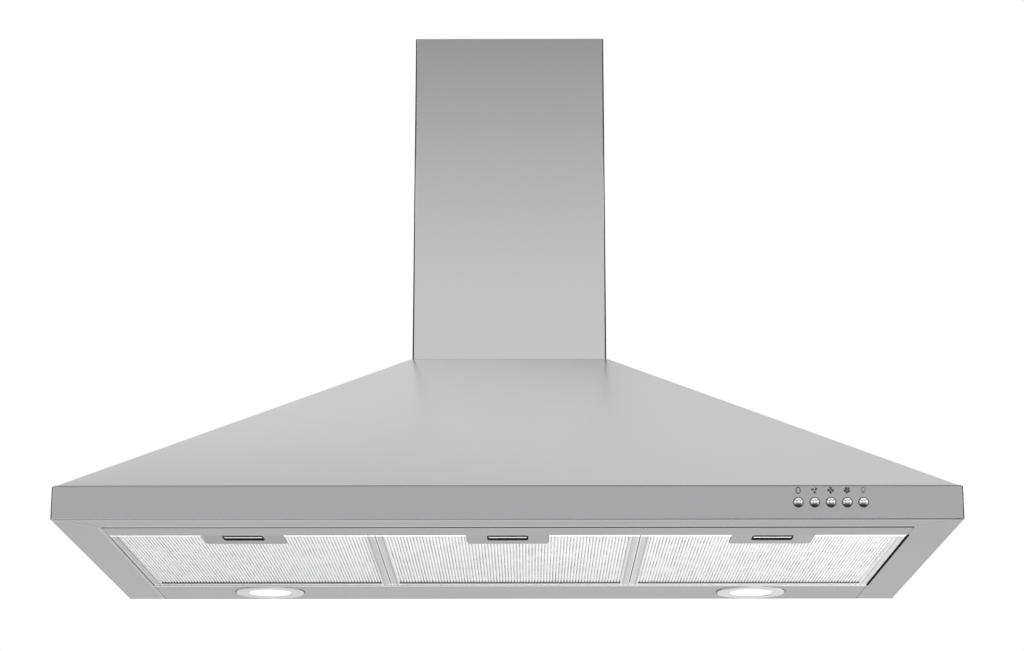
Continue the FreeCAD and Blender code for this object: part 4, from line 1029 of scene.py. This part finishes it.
def make_floor():
    mesh = bmesh.new()
    bmesh.ops.create_grid(mesh, x_segments=8, y_segments=8, size=FLOOR_HALF)
    data = bpy.data.meshes.new("floor")
    mesh.to_mesh(data)
    mesh.free()
    floor = bpy.data.objects.new("floor", data)
    floor.location.z = FLOOR_LEVEL
    scene.collection.objects.link(floor)
    recipe = Recipe("floor_pale")
    dust = recipe.noise(recipe.place, scale=3.0, detail=3.0)
    pale = recipe.blend(dust, (0.80, 0.80, 0.795), (0.84, 0.84, 0.835))
    # Painted reflection: mirrored rays see the floor near black, so the steel and the chrome show it dark.
    mirrored = recipe.add("ShaderNodeLightPath").outputs["Is Glossy Ray"]
    recipe.set(Base_Color=recipe.blend(mirrored, pale, (0.05, 0.05, 0.05)))
    recipe.set(Roughness=recipe.span(dust, 0.3, 0.7, 0.75, 0.85))
    floor.data.materials.append(recipe.material)
    return floor


# The studio's brightness against the height in degrees, to the front, the rear and the sides
FRONT_CURVE = (
    (-90, 0.08), (-40, 0.10), (-14, 0.20), (0, 0.46), (6, 0.56), (9, 0.63),
    (14, 1.28), (24, 0.18), (38, 0.16), (52, 1.32), (66, 1.50), (90, 0.30),
)
REAR_CURVE = (
    (-90, 0.10), (-35, 0.54), (-12, 0.82), (0, 0.58), (12, 0.08),
    (26, 0.10), (44, 0.80), (62, 0.88), (90, 0.12),
)
SIDE_CURVE = (
    (-90, 0.10), (-20, 0.60), (0, 0.95), (8, 1.25),
    (24, 1.3), (34, 1.0), (60, 0.55), (90, 0.12),
)
WHITE = (1, 1, 1, 1)


def make_world():
    """A white studio whose brightness changes with height and side, for the steel to reflect."""
    world = bpy.data.worlds.new("studio")
    scene.world = world
    world.use_nodes = True
    tree = world.node_tree
    tree.nodes.clear()
    recipe = Recipe("studio", tree)
    direction = recipe.add("ShaderNodeTexCoord").outputs["Generated"]
    x, y, z = recipe.axes(direction)
    height = recipe.math("MULTIPLY", recipe.math("ARCSINE", z), 180 / math.pi)

    def curve(stops):
        """Brightness against the height in degrees, as a chain of smooth steps."""
        value = stops[0][1]
        for (low, before), (high, after) in zip(stops, stops[1:]):
            step = recipe.span(height, float(low), float(high), 0.0, after - before, smooth=True)
            value = recipe.math("ADD", value, step)
        return value

    front = curve(FRONT_CURVE)
    # The rear's upper part darkens towards the right.
    lean = recipe.product(x, recipe.span(height, 0.0, 20.0, 0.0, -0.25))
    rear = recipe.product(curve(REAR_CURVE), recipe.math("ADD", 1.0, lean))
    back_share = recipe.span(y, -0.25, 0.25, 0.0, 1.0, smooth=True)
    around = recipe.mix(back_share, front, rear)
    side_share = recipe.span(recipe.math("ABSOLUTE", x), 0.55, 0.85, 0.0, 1.0, smooth=True)
    side_share = recipe.product(side_share, recipe.span(y, 0.0, 0.25, 1.0, 0.0, smooth=True))
    lit = recipe.add("ShaderNodeBackground")
    lit.inputs["Color"].default_value = WHITE
    recipe.feed(lit.inputs["Strength"], recipe.mix(side_share, around, curve(SIDE_CURVE)))
    plain = recipe.add("ShaderNodeBackground")
    plain.inputs["Color"].default_value = WHITE
    plain.inputs["Strength"].default_value = 1.0
    seen = recipe.add("ShaderNodeLightPath").outputs["Is Camera Ray"]
    choice = recipe.add("ShaderNodeMixShader")
    for socket, value in zip(choice.inputs, (seen, lit.outputs[0], plain.outputs[0])):
        recipe.feed(socket, value)
    output = recipe.add("ShaderNodeOutputWorld")
    recipe.feed(output.inputs["Surface"], choice.outputs[0])


def add_light(name, place, target, size, power):
    """A soft rectangular light, which the steel doesn't mirror."""
    data = bpy.data.lights.new(name, "AREA")
    data.shape = "RECTANGLE"
    data.size, data.size_y = size
    data.energy = power
    light = bpy.data.objects.new(name, data)
    light.visible_glossy = False
    light.location = place
    light.rotation_euler = (Vector(target) - Vector(place)).to_track_quat("-Z", "Y").to_euler()
    scene.collection.objects.link(light)
    return light


floor = make_floor()
make_world()
fill = add_light(
    "under_fill", place=(0.7, -1.2, -1.25), target=(0.0, -0.25, 0.0), size=(1.4, 1.0), power=39.0
)
# The low light would leave a glaring patch on the floor beside it, so it lights the hood alone.
unlit = bpy.data.collections.new("unlit_by_fill")
unlit.objects.link(floor)
unlit.collection_objects[0].light_linking.link_state = "EXCLUDE"
fill.light_linking.receiver_collection = unlit
add_light("key_left", place=(-1.3, -1.9, 1.5), target=(0.0, -0.3, 0.1), size=(1.4, 1.1), power=14.0)

# The camera's place in metres and its turns in degrees: it stands low and looks up at the hood
CAMERA_PLACE = (0.022638, -2.884898, -0.450017)
CAMERA_TURN = 0.42296
CAMERA_TILT = 15.1863
CAMERA_ROLL = 0.02843

camera_data = bpy.data.cameras.new("camera")
camera_data.sensor_width = 36.0
camera_data.lens = 86.68
camera_data.clip_start = 0.05
camera_data.clip_end = 50.0
camera = bpy.data.objects.new("camera", camera_data)
camera.location = CAMERA_PLACE
turn = Matrix.Rotation(math.radians(CAMERA_TURN), 4, "Z")
tilt = Matrix.Rotation(math.radians(90 + CAMERA_TILT), 4, "X")
roll = Matrix.Rotation(math.radians(CAMERA_ROLL), 4, "Z")
camera.rotation_euler = (turn @ tilt @ roll).to_euler()
scene.collection.objects.link(camera)
scene.camera = camera

scene.view_settings.view_transform = "Standard"
scene.view_settings.look = "None"
